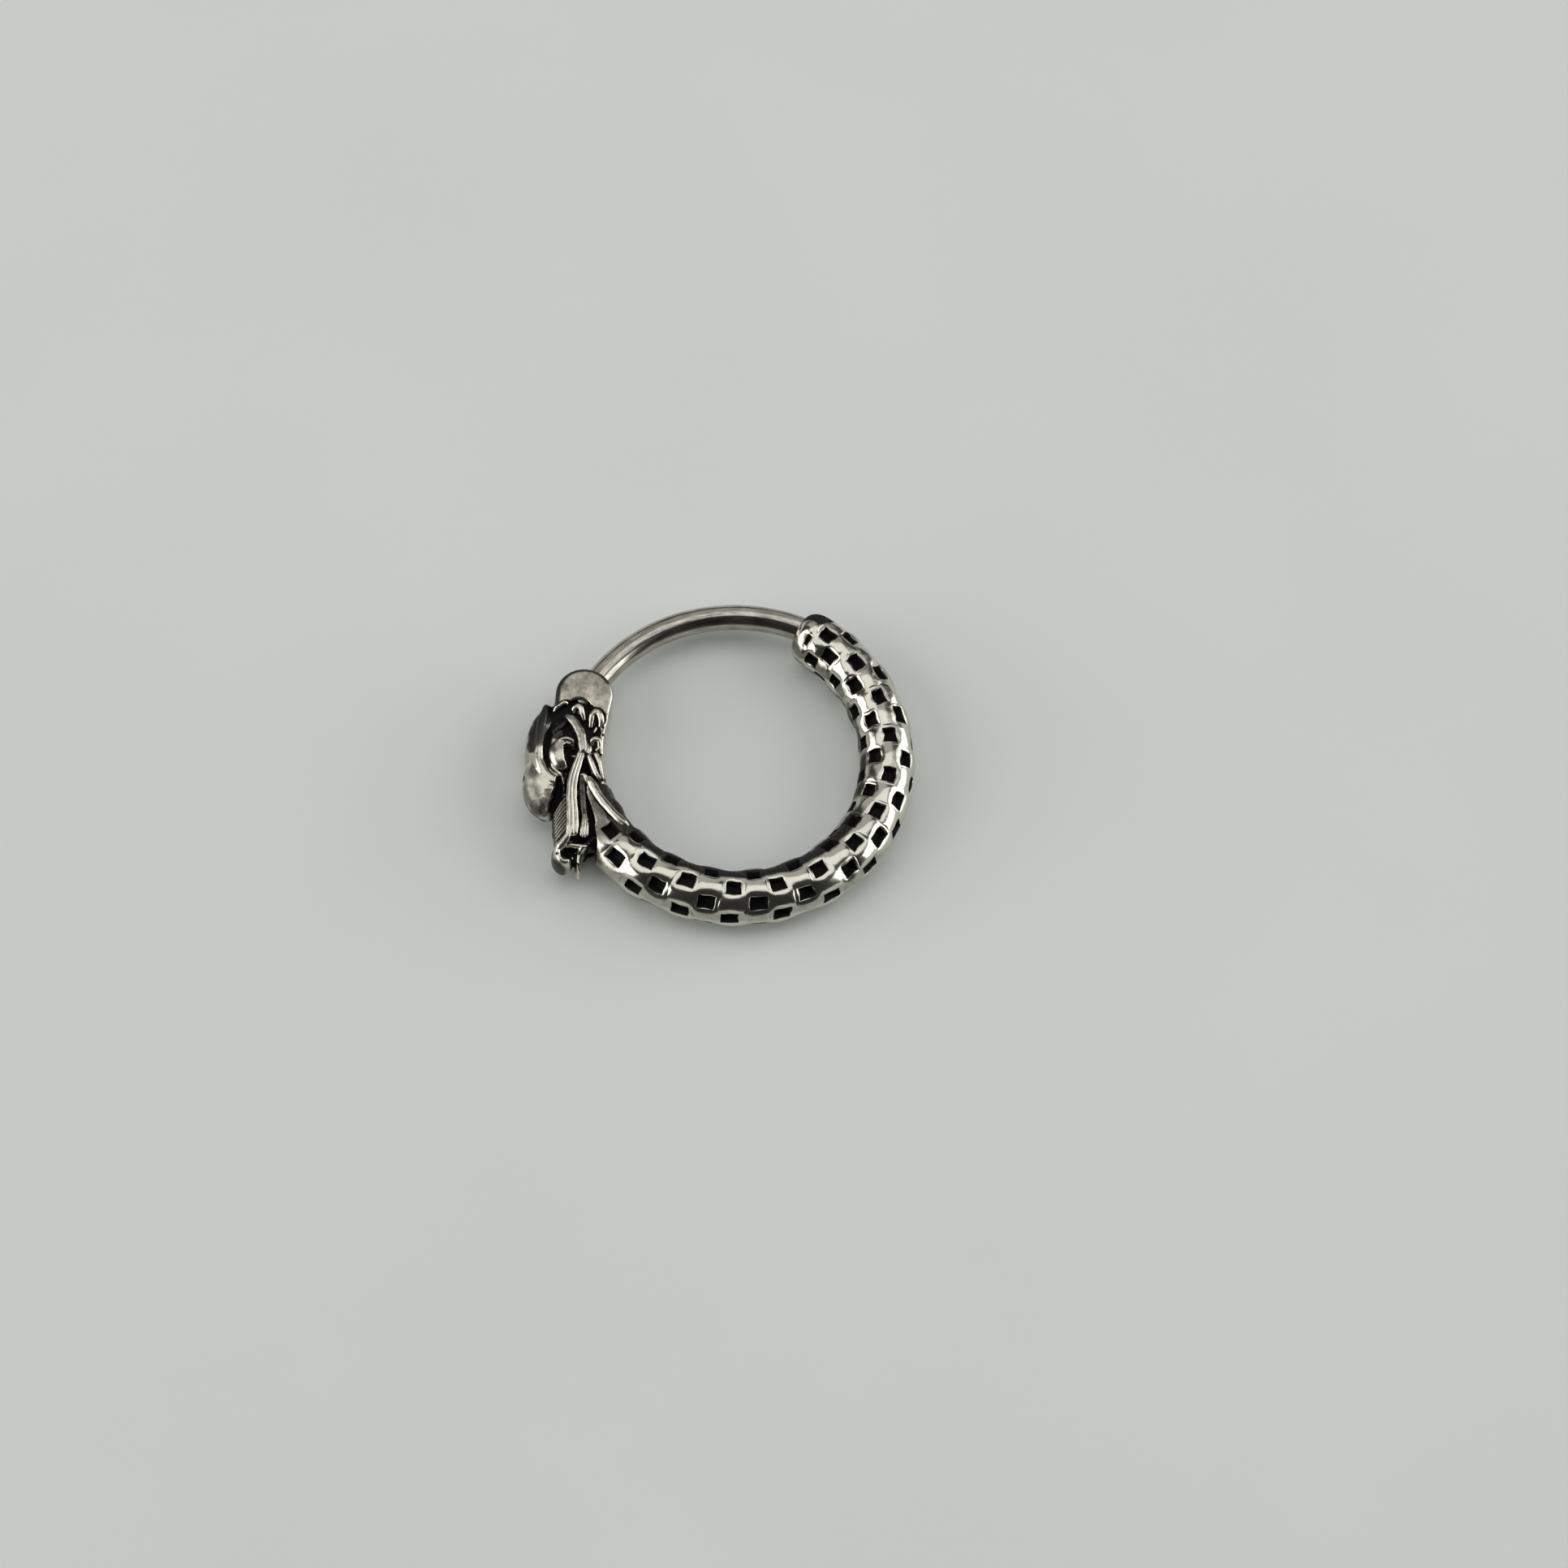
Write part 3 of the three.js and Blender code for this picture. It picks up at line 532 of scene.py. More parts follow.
HEAD_DETAIL = [
    ("lid", 0.02, 1, 1.6, [(-6.84, -1.70, 0.82, 0.07), (-6.70, -1.45, 0.90, 0.100), (-6.46, -1.29, 0.96, 0.115), (-6.20, -1.30, 0.96, 0.110), (-6.00, -1.42, 0.93, 0.070)]),
    ("fold", 0.05, 1, 1.3, [(-6.58, -0.51, 0.80, 0.088), (-6.75, -0.75, 0.82, 0.132), (-6.92, -1.00, 0.80, 0.121)]),
    ("fold_gap", 0.03, -1, 1.4, [(-6.47, -0.84, 0.98, 0.07), (-6.23, -1.01, 0.98, 0.09), (-6.02, -1.29, 0.96, 0.09), (-5.91, -1.56, 0.96, 0.09)]),
    ("fold_under", 0.03, -1, 1.3, [(-6.95, -1.29, 0.94, 0.045), (-6.71, -1.17, 0.98, 0.055), (-6.43, -1.05, 0.98, 0.05)]),
    ("thin_arc", 0.015, 1, 2.2, [(-7.12, -0.16, 0.81, 0.039), (-7.05, -0.01, 0.89, 0.050), (-6.94, 0.10, 0.94, 0.055), (-6.80, 0.24, 0.96, 0.055), (-6.69, 0.24, 0.91, 0.045)]),
    ("spark", 0.015, 1, 2.4, [(-6.11, 0.58, 0.90, 0.0385), (-5.95, 0.60, 0.92, 0.044)]),
    ("ear_curl", 0.015, 1, 2, [(-6.34, -0.02, 0.79, 0.053), (-6.39, 0.08, 0.87, 0.070), (-6.28, 0.19, 0.94, 0.080), (-6.14, 0.15, 0.96, 0.080), (-6.03, -0.06, 0.93, 0.075), (-5.91, -0.27, 0.83, 0.053)]),
    ("ear_core", 0.02, 1, 1.8, [(-6.22, 0.06, 0.82, 0.066), (-6.16, -0.03, 0.80, 0.055)]),
    ("cheek_curl", 0.015, 1, 2, [(-5.61, -0.50, 0.79, 0.060), (-5.63, -0.25, 0.89, 0.075), (-5.62, -0.01, 0.95, 0.089), (-5.50, 0.11, 0.97, 0.095), (-5.35, 0.02, 0.97, 0.095), (-5.25, -0.20, 0.94, 0.089), (-5.23, -0.41, 0.85, 0.070)]),
    ("cheek_core", 0.02, 1, 1.8, [(-5.48, -0.38, 0.84, 0.061), (-5.49, -0.19, 0.90, 0.073), (-5.46, -0.07, 0.92, 0.067), (-5.36, -0.22, 0.88, 0.061)]),
    ("cheek_low", 0.03, 1, 1.3, [(-5.37, -0.47, 0.76, 0.09), (-5.41, -0.66, 0.74, 0.08)]),
    ("knob", 0.015, 1, 1.8, [(-5.43, -1.22, 0.77, 0.060), (-5.42, -1.09, 0.86, 0.074), (-5.30, -1.01, 0.90, 0.079), (-5.16, -1.06, 0.88, 0.074), (-5.10, -1.26, 0.81, 0.064), (-5.17, -1.42, 0.77, 0.060)]),
    ("rim", 0.05, 1, 1, [(-5.14, 0.27, 0.90, 0.08), (-5.12, -0.15, 0.84, 0.08), (-5.12, -0.58, 0.80, 0.08), (-5.06, -1.00, 0.76, 0.08), (-4.98, -1.51, 0.76, 0.09)]),
    ("rib", 0.02, 1, 1.8, [(-6.58, -0.26, 0.83, 0.061), (-6.40, -0.38, 0.90, 0.094), (-6.15, -0.62, 0.93, 0.104), (-5.94, -0.90, 0.95, 0.108), (-5.80, -1.20, 0.95, 0.108), (-5.71, -1.50, 0.94, 0.101), (-5.68, -1.62, 0.92, 0.090)]),
    ("jaw_base", 0.05, 1, 1, [(-5.30, -1.75, 0.70, 0.184), (-5.05, -2.09, 0.70, 0.196), (-4.82, -2.42, 0.66, 0.161)]),
    ("jaw_left", 0.02, 1, 1.5, [(-5.39, -1.79, 0.90, 0.118), (-5.25, -2.03, 0.89, 0.146), (-5.04, -2.36, 0.86, 0.146), (-4.85, -2.58, 0.82, 0.118)]),
    ("jaw_right", 0.02, 1, 1.5, [(-5.16, -1.67, 0.90, 0.134), (-4.98, -1.96, 0.88, 0.148), (-4.83, -2.31, 0.85, 0.134), (-4.73, -2.54, 0.80, 0.108)]),
    ("jaw_notch", 0.02, -1, 1.5, [(-5.51, -1.68, 1.02, 0.05), (-5.28, -1.55, 1.00, 0.05), (-5.03, -1.54, 0.96, 0.05)]),
    ("gap", 0.03, -1, 2.6, [(-5.45, -2.19, 0.95, 0.06), (-5.38, -2.37, 0.92, 0.11), (-5.29, -2.60, 0.90, 0.13)]),
    ("gap_side", 0.03, -1, 2.2, [(-4.85, -2.85, 0.92, 0.08), (-5.10, -2.76, 0.92, 0.09)]),
    ("whisker", 0.02, 1, 1.3, [(-5.23, -2.70, 0.89, 0.083), (-5.07, -2.90, 0.92, 0.124), (-4.88, -3.16, 0.93, 0.126), (-4.64, -3.42, 0.93, 0.119), (-4.36, -3.67, 0.93, 0.115), (-4.04, -3.93, 0.93, 0.114), (-3.74, -4.13, 0.93, 0.114), (-3.52, -4.26, 0.91, 0.108), (-3.40, -4.31, 0.86, 0.086)]),
]

EYE = [  # +1 adds / -1 cuts, centre x y z, half sizes x y z, turn, blend
    (1, -6.43, -1.87, 0.75, 0.55, 0.68, 0.34, 8, 0.02),
    (-1, -6.02, -1.66, 1.00, 0.20, 0.20, 0.42, 0, 0.02),
    (-1, -6.02, -2.14, 1.00, 0.22, 0.30, 0.42, 0, 0.02),
]
PUPIL = [(-6.31, -1.62, 0.98, 0.145), (-6.25, -1.86, 0.98, 0.150), (-6.16, -2.10, 0.98, 0.150)]


HORN = [(-5.74, -1.62, 0.86, 0.1), (-5.76, -2.05, 0.90, 0.1), (-5.80, -2.60, 0.91, 0.1), (-5.80, -3.10, 0.91, 0.1),
        (-5.71, -3.62, 0.90, 0.1), (-5.54, -4.28, 0.90, 0.1), (-5.42, -4.80, 0.89, 0.1), (-5.37, -5.02, 0.87, 0.1)]
BACK_HORN = [(-5.50, -2.70, 0.76, 0.1), (-5.42, -2.95, 0.80, 0.1), (-5.31, -3.40, 0.82, 0.1), (-5.17, -3.90, 0.84, 0.1), (-5.03, -4.34, 0.88, 0.1)]

WHISKER_ROOT = [(-5.12, -2.86), (-4.88, -3.17), (-4.64, -3.43), (-4.36, -3.68), (-4.04, -3.94), (-3.72, -4.16), (-3.51, -4.29)]

PATINA = [  # x, y, z, radius, strength: where the black was left standing
    (-6.62, -2.85, 0.60, 0.24, 0.50), (-6.62, -3.10, 0.60, 0.28, 0.50), (-6.62, -3.35, 0.58, 0.32, 0.51), (-6.62, -3.62, 0.56, 0.36, 0.51), (-6.62, -3.90, 0.54, 0.40, 0.52),
    (-6.64, -4.15, 0.48, 0.40, 0.53), (-6.66, -4.38, 0.42, 0.38, 0.54), (-7.64, -3.02, 0.28, 0.20, 0.80),
    (-6.25, -3.30, 0.10, 0.60, 0.80), (-6.20, -3.90, 0.10, 0.50, 0.70), (-6.38, -3.40, 0.55, 0.30, 0.65), (-6.36, -3.85, 0.50, 0.30, 0.65),
    (-7.66, -0.30, 0.52, 0.40, 0.50), (-7.70, -0.55, 0.50, 0.42, 0.54), (-7.72, -0.80, 0.50, 0.42, 0.55), (-7.72, -1.05, 0.50, 0.42, 0.55),
    (-7.70, -1.30, 0.50, 0.40, 0.54), (-7.64, -1.55, 0.50, 0.36, 0.51), (-7.56, -1.80, 0.50, 0.30, 0.48),
    (-5.38, -5.70, 0.20, 0.28, 0.80), (-5.05, -5.32, 0.72, 0.26, 0.75), (-5.34, -5.28, 0.78, 0.17, 0.65),
    (-4.85, -4.10, 0.45, 0.38, 0.9), (-4.70, -4.80, 0.35, 0.44, 0.9), (-4.60, -5.40, 0.30, 0.48, 0.9), (-5.00, -3.50, 0.45, 0.38, 0.9), (-4.55, -6.0, 0.2, 0.4, 0.9),
    (-4.90, -4.62, 0.62, 0.30, 0.95), (-4.80, -4.98, 0.60, 0.28, 0.95), (-4.66, -5.14, 0.62, 0.24, 0.9), (-5.00, -4.15, 0.62, 0.30, 0.95), (-5.15, -3.70, 0.66, 0.26, 0.95),
    (-5.52, -3.30, 0.66, 0.24, 0.95), (-5.42, -3.90, 0.66, 0.24, 0.95), (-5.24, -4.50, 0.68, 0.24, 0.95), (-5.18, -4.95, 0.72, 0.22, 0.9), (-5.60, -2.75, 0.70, 0.24, 0.95),
    (-5.45, -2.60, 0.66, 0.20, 0.9), (-5.98, -2.55, 0.72, 0.24, 0.9), (-5.98, -3.05, 0.66, 0.24, 0.9), (-5.92, -3.60, 0.60, 0.20, 0.8),
]

TARNISH = [  # x, y, z, radius, strength: dull grey skin over the metal
    (-7.42, 0.00, 0.70, 0.60, 0.9), (-7.52, -0.50, 0.66, 0.60, 0.95), (-7.58, -1.05, 0.60, 0.60, 0.95), (-7.56, -1.60, 0.56, 0.55, 0.9),
    (-7.34, -1.20, 0.82, 0.42, 0.95), (-7.36, -1.55, 0.78, 0.36, 0.8), (-7.15, -0.30, 0.85, 0.45, 0.9), (-6.80, -0.70, 0.85, 0.50, 1.0), (-6.88, -1.05, 0.85, 0.40, 1.0),
    (-5.42, -3.05, 0.80, 0.30, 0.95), (-5.28, -3.50, 0.80, 0.30, 0.95), (-5.15, -3.95, 0.82, 0.24, 0.9),
    (-7.80, -2.00, 0.30, 0.60, 0.42), (-7.60, -2.95, 0.40, 0.60, 0.42), (-7.30, -3.60, 0.40, 0.65, 0.62), (-6.95, -4.10, 0.35, 0.50, 0.72), (-5.65, -6.25, 0.12, 0.50, 0.9), (-5.95, -5.85, 0.10, 0.42, 0.8),
    (-6.08, -3.95, 0.42, 0.60, 0.90), (-6.02, -4.50, 0.38, 0.62, 0.92), (-5.92, -5.00, 0.32, 0.52, 0.80),
    (-4.60, -2.90, 0.55, 0.55, 0.95), (-4.90, -2.45, 0.55, 0.30, 0.5),
]

POLISH = [  # x, y, z, radius: small raised curls rubbed bright again
    (-5.72, -5.70, 0.70, 0.30), (-5.58, -6.10, 0.62, 0.26), (-5.38, -6.14, 0.62, 0.22), (-4.90, -5.52, 0.72, 0.22), (-4.92, -5.95, 0.55, 0.20), (-5.15, -5.48, 0.76, 0.16),
    (-6.28, 0.17, 1.04, 0.14), (-6.10, 0.06, 1.04, 0.14), (-5.61, -0.10, 1.04, 0.15), (-5.42, 0.10, 1.08, 0.16), (-5.25, -0.12, 1.04, 0.15), (-5.28, -1.04, 1.00, 0.14),
    (-6.32, -0.48, 1.02, 0.24), (-6.00, -0.85, 1.06, 0.24), (-5.78, -1.25, 1.06, 0.24), (-6.30, -1.30, 1.02, 0.18),
]


CURL_PARTS = [
    ("stem_low", 0.05, 1, 1, [(-5.51, -3.64, 0.30, 0.3), (-5.26, -4.50, 0.20, 0.34), (-5.26, -5.13, 0.12, 0.3)]),
    ("lip_turn", 0.03, 1, 1, [(-5.52, -4.99, 0.90, 0.100), (-5.52, -5.20, 0.85, 0.125), (-5.60, -5.40, 0.74, 0.155), (-5.70, -5.58, 0.62, 0.185)]),
    ("lip_band", 0.02, 1, 1.5, [(-5.62, -5.58, 0.58, 0.105), (-5.40, -5.50, 0.62, 0.095), (-5.12, -5.48, 0.62, 0.105), (-4.86, -5.44, 0.60, 0.125), (-4.74, -5.38, 0.60, 0.090)]),
    ("lip_end", 0.02, 1, 1.5, [(-4.77, -5.34, 0.60, 0.084), (-4.62, -5.18, 0.74, 0.078), (-4.46, -5.05, 0.80, 0.06)]),
    ("c", 0.05, 1, 2.7, [(-5.70, -5.55, 0.58, 0.175), (-5.78, -5.75, 0.52, 0.205), (-5.74, -5.96, 0.47, 0.220), (-5.60, -6.12, 0.44, 0.225), (-5.43, -6.17, 0.43, 0.215), (-5.34, -6.12, 0.43, 0.200)]),
    ("leg", 0.03, 1, 3.0, [(-4.84, -5.46, 0.60, 0.165), (-4.93, -5.60, 0.54, 0.150), (-4.96, -5.78, 0.48, 0.110), (-4.94, -6.00, 0.43, 0.100), (-4.88, -6.20, 0.38, 0.090), (-4.83, -6.38, 0.34, 0.070)]),
    ("curl_floor", 0.04, 1, 1, [(-5.39, -5.57, 0.05, 0.192), (-5.19, -5.76, 0.02, 0.168), (-5.06, -6.02, 0.00, 0.144)]),
    ("bowl", 0.03, -1, 1.4, [(-5.28, -5.37, 0.92, 0.1), (-5.05, -5.34, 0.90, 0.13), (-4.80, -5.25, 0.90, 0.12)]),
]


def surface_nets(v, x, y, z):
    """closed surface of the zero level of v on the grid x, y, z: vertices (mm) and quads"""
    neg = v < 0
    nx, ny, nz = v.shape
    cs = neg[:-1, :-1, :-1].astype(np.int8)
    for dx, dy, dz in ((1, 0, 0), (0, 1, 0), (0, 0, 1), (1, 1, 0), (1, 0, 1), (0, 1, 1), (1, 1, 1)):
        cs = cs + neg[dx:nx - 1 + dx, dy:ny - 1 + dy, dz:nz - 1 + dz]
    cell = np.argwhere((cs > 0) & (cs < 8))
    ids = np.full((nx - 1, ny - 1, nz - 1), -1, np.int64)
    ids[tuple(cell.T)] = np.arange(len(cell))
    acc = np.zeros((len(cell), 3))
    cnt = np.zeros(len(cell))
    corners = [(i, j, k) for i in (0, 1) for j in (0, 1) for k in (0, 1)]
    val = {c: v[cell[:, 0] + c[0], cell[:, 1] + c[1], cell[:, 2] + c[2]].astype(float) for c in corners}
    for a in corners:
        for ax in range(3):
            if a[ax]:
                continue
            b = tuple(a[i] + (i == ax) for i in range(3))
            va, vb = val[a], val[b]
            hit = (va < 0) != (vb < 0)
            t = np.where(hit, va / np.where(hit, va - vb, 1), 0)
            p = np.tile(np.array(a, float), (len(cell), 1))
            p[:, ax] = t
            acc += np.where(hit[:, None], p, 0)
            cnt += hit
    loc = cell + acc / cnt[:, None]
    h = x[1] - x[0]
    V = loc * h + np.array([x[0], y[0], z[0]])
    quads = []
    for ax in range(3):
        o1, o2 = [i for i in range(3) if i != ax]
        sl_a = [slice(None)] * 3
        sl_b = [slice(None)] * 3
        sl_a[ax], sl_b[ax] = slice(0, -1), slice(1, None)
        sa, sb = neg[tuple(sl_a)], neg[tuple(sl_b)]
        e = np.argwhere(sa != sb)
        ok = (e[:, o1] > 0) & (e[:, o2] > 0) & (e[:, o1] < v.shape[o1] - 1) & (e[:, o2] < v.shape[o2] - 1)
        e = e[ok]
        inside = sa[tuple(e.T)]

        def cid(d1, d2):
            c = e.copy()
            c[:, o1] -= d1
            c[:, o2] -= d2
            return ids[tuple(c.T)]
        q = np.stack([cid(1, 1), cid(0, 1), cid(0, 0), cid(1, 0)], 1)
        flip = inside if ax != 1 else ~inside
        q[~flip] = q[~flip][:, ::-1]
        quads.append(q)
    return V, np.vstack(quads)


def sample(v, x, y, z, p):
    h = x[1] - x[0]
    g = (p - np.array([x[0], y[0], z[0]])) / h
    g = np.clip(g, 0, np.array(v.shape) - 1.001)
    i = g.astype(int)
    f = g - i
    out = 0
    for a in (0, 1):
        for b in (0, 1):
            for c in (0, 1):
                wgt = (f[:, 0] if a else 1 - f[:, 0]) * (f[:, 1] if b else 1 - f[:, 1]) * (f[:, 2] if c else 1 - f[:, 2])
                out = out + wgt * v[i[:, 0] + a, i[:, 1] + b, i[:, 2] + c]
    return out


HEAD_TRIANGLES = 190000


def dragon_head():
    h = 0.040
    F = head_field(h)
    v = np.concatenate([F.v[:, :, ::-1], F.v], axis=2)
    z = np.concatenate([-F.z[::-1], F.z])
    # pin bore: blind in the upper ear, open through the lower one
    X, Y = F.x[:, None, None] - HINGE[0], F.y[None, :, None] - HINGE[1]
    bore = np.maximum(np.sqrt(X * X + Y * Y) - (PIN_R + 0.015), z[None, None, :] - (PIN_BLIND + 0.02))
    v = np.maximum(v, -bore)
    # closed at the grid's edge
    v[[0, -1]] = v[:, [0, -1]] = 0.3
    v[:, :, [0, -1]] = 0.3
    V, Q = surface_nets(v, F.x, F.y, z)
    eps = h * 0.5

    def grad(p):
        g = np.stack([sample(v, F.x, F.y, z, p + d) - sample(v, F.x, F.y, z, p - d)
                      for d in (np.array([eps, 0, 0]), np.array([0, eps, 0]), np.array([0, 0, eps]))], 1)
        return g / (np.linalg.norm(g, axis=1)[:, None] + 1e-9)
    for _ in range(2):
        n = grad(V)
        V = V - n * np.clip(sample(v, F.x, F.y, z, V), -h * 0.4, h * 0.4)[:, None] * 0.7
    n = grad(V)
    # drop loose crumbs
    occ = np.zeros(len(V))
    for d, w in ((0.07, 0.3), (0.14, 0.35), (0.26, 0.35)):
        s = sample(v, F.x, F.y, z, V + n * d)
        occ += w * np.clip((d - s) / d, 0, 1.5)
    y_, x_, z_ = V[:, 1], V[:, 0], np.abs(V[:, 2])
    up = n[:, 2] * np.sign(V[:, 2])
    ear = (z_ > 0.86) & (up > 0.80) & (fork_outline(x_, y_) < 0.02) & (y_ > -0.8)
    ear_rim = (z_ > 0.5) * smoothstep(-0.30, -0.10, fork_outline(x_, y_)) * (y_ > -0.5) * smoothstep(0.45, 0.20, (x_ - HINGE[0]) - 0.8 * (y_ - HINGE[1]))
    low = smoothstep(0.84, 0.75, z_) * (up > 0.45) * smoothstep(-2.6, -2.2, y_) * smoothstep(-7.3, -7.1, x_)
    pat = np.zeros(len(V))
    for px, py, pz, pr, ps in PATINA:
        d = np.sqrt((x_ - px) ** 2 + (y_ - py) ** 2 + ((z_ - pz) * 0.8) ** 2)
        pat = np.maximum(pat, ps * smoothstep(pr, pr * 0.45, d))
    tarnish_and_shade = np.zeros(len(V))
    for px, py, pz, pr, ps in TARNISH:
        d = np.sqrt((x_ - px) ** 2 + (y_ - py) ** 2 + ((z_ - pz) * 0.8) ** 2)
        tarnish_and_shade = np.maximum(tarnish_and_shade, ps * smoothstep(pr, pr * 0.5, d))
    tarnish_and_shade = np.maximum(tarnish_and_shade, np.maximum(0.9 * ear_rim, 0.30 * ear))
    worn = np.zeros(len(V))
    for px, py, pz, pr in POLISH:
        d = np.sqrt((x_ - px) ** 2 + (y_ - py) ** 2 + (z_ - pz) ** 2)
        worn = np.maximum(worn, smoothstep(pr, pr * 0.6, d) * smoothstep(0.05, 0.35, up))
    trench = smoothstep(-5.38, -5.24, x_) * smoothstep(-3.0, -3.3, y_) * smoothstep(-5.36, -5.24, y_)
    pat = np.maximum(pat, 0.97 * trench)
    cav = np.clip(np.maximum(smoothstep(0.22, 0.58, occ) + 0.9 * low, pat), 0, 1) * (1 - 0.85 * worn)
    ob = make_mesh("dragon_head", V, Q, {"cavity": cav, "satin": np.where(ear, 1.0, 0.32), "tarnish_and_painted_shade": tarnish_and_shade})
    keep_largest(ob)
    tris = sum(len(p.vertices) - 2 for p in ob.data.polygons)
    if tris > HEAD_TRIANGLES:
        m = ob.modifiers.new("d", "DECIMATE")
        m.ratio = HEAD_TRIANGLES / tris
        me = bpy.data.meshes.new_from_object(ob.evaluated_get(bpy.context.evaluated_depsgraph_get()))
        ob.modifiers.remove(m)
        ob.data, me.name = me, ob.name
    return ob


def keep_largest(ob):
    """removes every shell but the biggest"""
    me = ob.data
    n = len(me.vertices)
    e = np.empty(len(me.edges) * 2, np.int64)
    me.edges.foreach_get("vertices", e)
    e = e.reshape(-1, 2)
    lab = np.arange(n)
    while True:
        m = np.minimum(lab[e[:, 0]], lab[e[:, 1]])
        new = lab.copy()
        np.minimum.at(new, e[:, 0], m)
        np.minimum.at(new, e[:, 1], m)
        new = new[new]
        new = new[new]
        if (new == lab).all():
            break
        lab = new
    ids, cnt = np.unique(lab, return_counts=True)
    if len(ids) == 1:
        return
    big = ids[cnt.argmax()]
    import bmesh
    bm = bmesh.new()
    bm.from_mesh(me)
    bm.verts.ensure_lookup_table()
    bmesh.ops.delete(bm, geom=[bm.verts[i] for i in np.flatnonzero(lab != big)], context="VERTS")
    bm.to_mesh(me)
    bm.free()


STRANDS = [  # section, tarnish, height to width, rows of x y z of the centre line and half width
    ("three", 0.0, 0.55, [(-5.72, -1.50, 0.86, 0.05), (-5.73, -1.70, 0.91, 0.12), (-5.76, -2.05, 0.93, 0.160), (-5.80, -2.60, 0.94, 0.185), (-5.80, -3.10, 0.94, 0.195), (-5.71, -3.62, 0.93, 0.205), (-5.54, -4.28, 0.93, 0.222), (-5.43, -4.80, 0.92, 0.235), (-5.39, -5.06, 0.88, 0.230)]),
    ("two", 0.75, 0.60, [(-5.52, -2.62, 0.78, 0.07), (-5.45, -2.88, 0.82, 0.105), (-5.33, -3.40, 0.84, 0.115), (-5.19, -3.90, 0.85, 0.110), (-5.08, -4.26, 0.87, 0.095)]),
    ("three", 0.0, 0.50, [(-5.07, -4.22, 0.88, 0.085), (-5.01, -4.50, 0.93, 0.120), (-4.96, -4.80, 0.94, 0.155), (-4.93, -5.06, 0.90, 0.165)]),
    ("round", 0.42, 0.70, [(-6.58, -0.26, 0.86, 0.104), (-6.40, -0.38, 0.93, 0.159), (-6.15, -0.62, 0.96, 0.177), (-5.94, -0.90, 0.98, 0.183), (-5.80, -1.20, 0.98, 0.183), (-5.71, -1.50, 0.97, 0.171), (-5.68, -1.62, 0.95, 0.152)]),
    ("round", 0.0, 0.80, [(-6.34, -0.02, 0.82, 0.074), (-6.39, 0.08, 0.90, 0.097), (-6.28, 0.19, 0.97, 0.111), (-6.14, 0.15, 0.99, 0.111), (-6.03, -0.06, 0.96, 0.104), (-5.91, -0.27, 0.86, 0.074)]),
    ("round", 0.0, 0.80, [(-5.61, -0.50, 0.82, 0.083), (-5.63, -0.25, 0.92, 0.104), (-5.62, -0.01, 0.98, 0.124), (-5.50, 0.11, 1.00, 0.132), (-5.35, 0.02, 1.00, 0.132), (-5.25, -0.20, 0.97, 0.124), (-5.23, -0.41, 0.88, 0.097)]),
    ("round", 0.0, 0.80, [(-5.43, -1.22, 0.80, 0.083), (-5.42, -1.09, 0.89, 0.103), (-5.30, -1.01, 0.93, 0.110), (-5.16, -1.06, 0.91, 0.103), (-5.10, -1.26, 0.84, 0.089), (-5.17, -1.42, 0.80, 0.083)]),
    ("round", 0.1, 0.80, [(-7.12, -0.16, 0.84, 0.054), (-7.05, -0.01, 0.92, 0.069), (-6.94, 0.10, 0.97, 0.077), (-6.80, 0.24, 0.99, 0.077), (-6.69, 0.24, 0.94, 0.062)]),
    ("crest", 0.0, 0.85, [(-5.23, -2.70, 0.92, 0.115), (-5.07, -2.90, 0.95, 0.172), (-4.88, -3.16, 0.96, 0.175), (-4.64, -3.42, 0.96, 0.165), (-4.36, -3.67, 0.96, 0.160), (-4.04, -3.93, 0.96, 0.158), (-3.74, -4.13, 0.96, 0.158), (-3.52, -4.26, 0.94, 0.150), (-3.40, -4.31, 0.89, 0.120)]),
]
for i_ in range(8):                     # the mane's fine ribs, below the mouth
    x_, y_ = -5.93 + 0.038 * i_, -3.62 - 0.172 * i_
    STRANDS.append(("round", 0.62, 0.9, [(x_, y_, 0.66, 0.055), (x_ - 0.14, y_ - 0.30, 0.57, 0.066), (x_ - 0.27, y_ - 0.72 + 0.03 * i_, 0.42, 0.058)]))


def section(kind, n=44):
    """one turn round a strand: across and height in half widths, and how black each point is"""
    u = np.linspace(0, 2 * np.pi, n, endpoint=False)
    a, b = np.cos(u), np.sin(u)
    black = smoothstep(-0.10, -0.45, b) * 0.9
    if kind == "crest":
        b = np.where(b > 0, 1.12 * (1 - np.abs(a)) ** 0.72 * (1 - 0.25 * (1 - np.abs(a))), b)
    if kind in ("two", "three"):
        b = np.where(b > 0, np.abs(b) ** 0.45, b)
        for g in ((0.02,) if kind == "two" else (-0.36, 0.30)):
            dip = np.exp(-(((a - g) / 0.085) ** 2)) * (b > 0)
            b = b - 0.34 * dip
            black = np.maximum(black, 0.85 * np.exp(-(((a - g) / 0.065) ** 2)) * (b > 0))
    return a, b, black


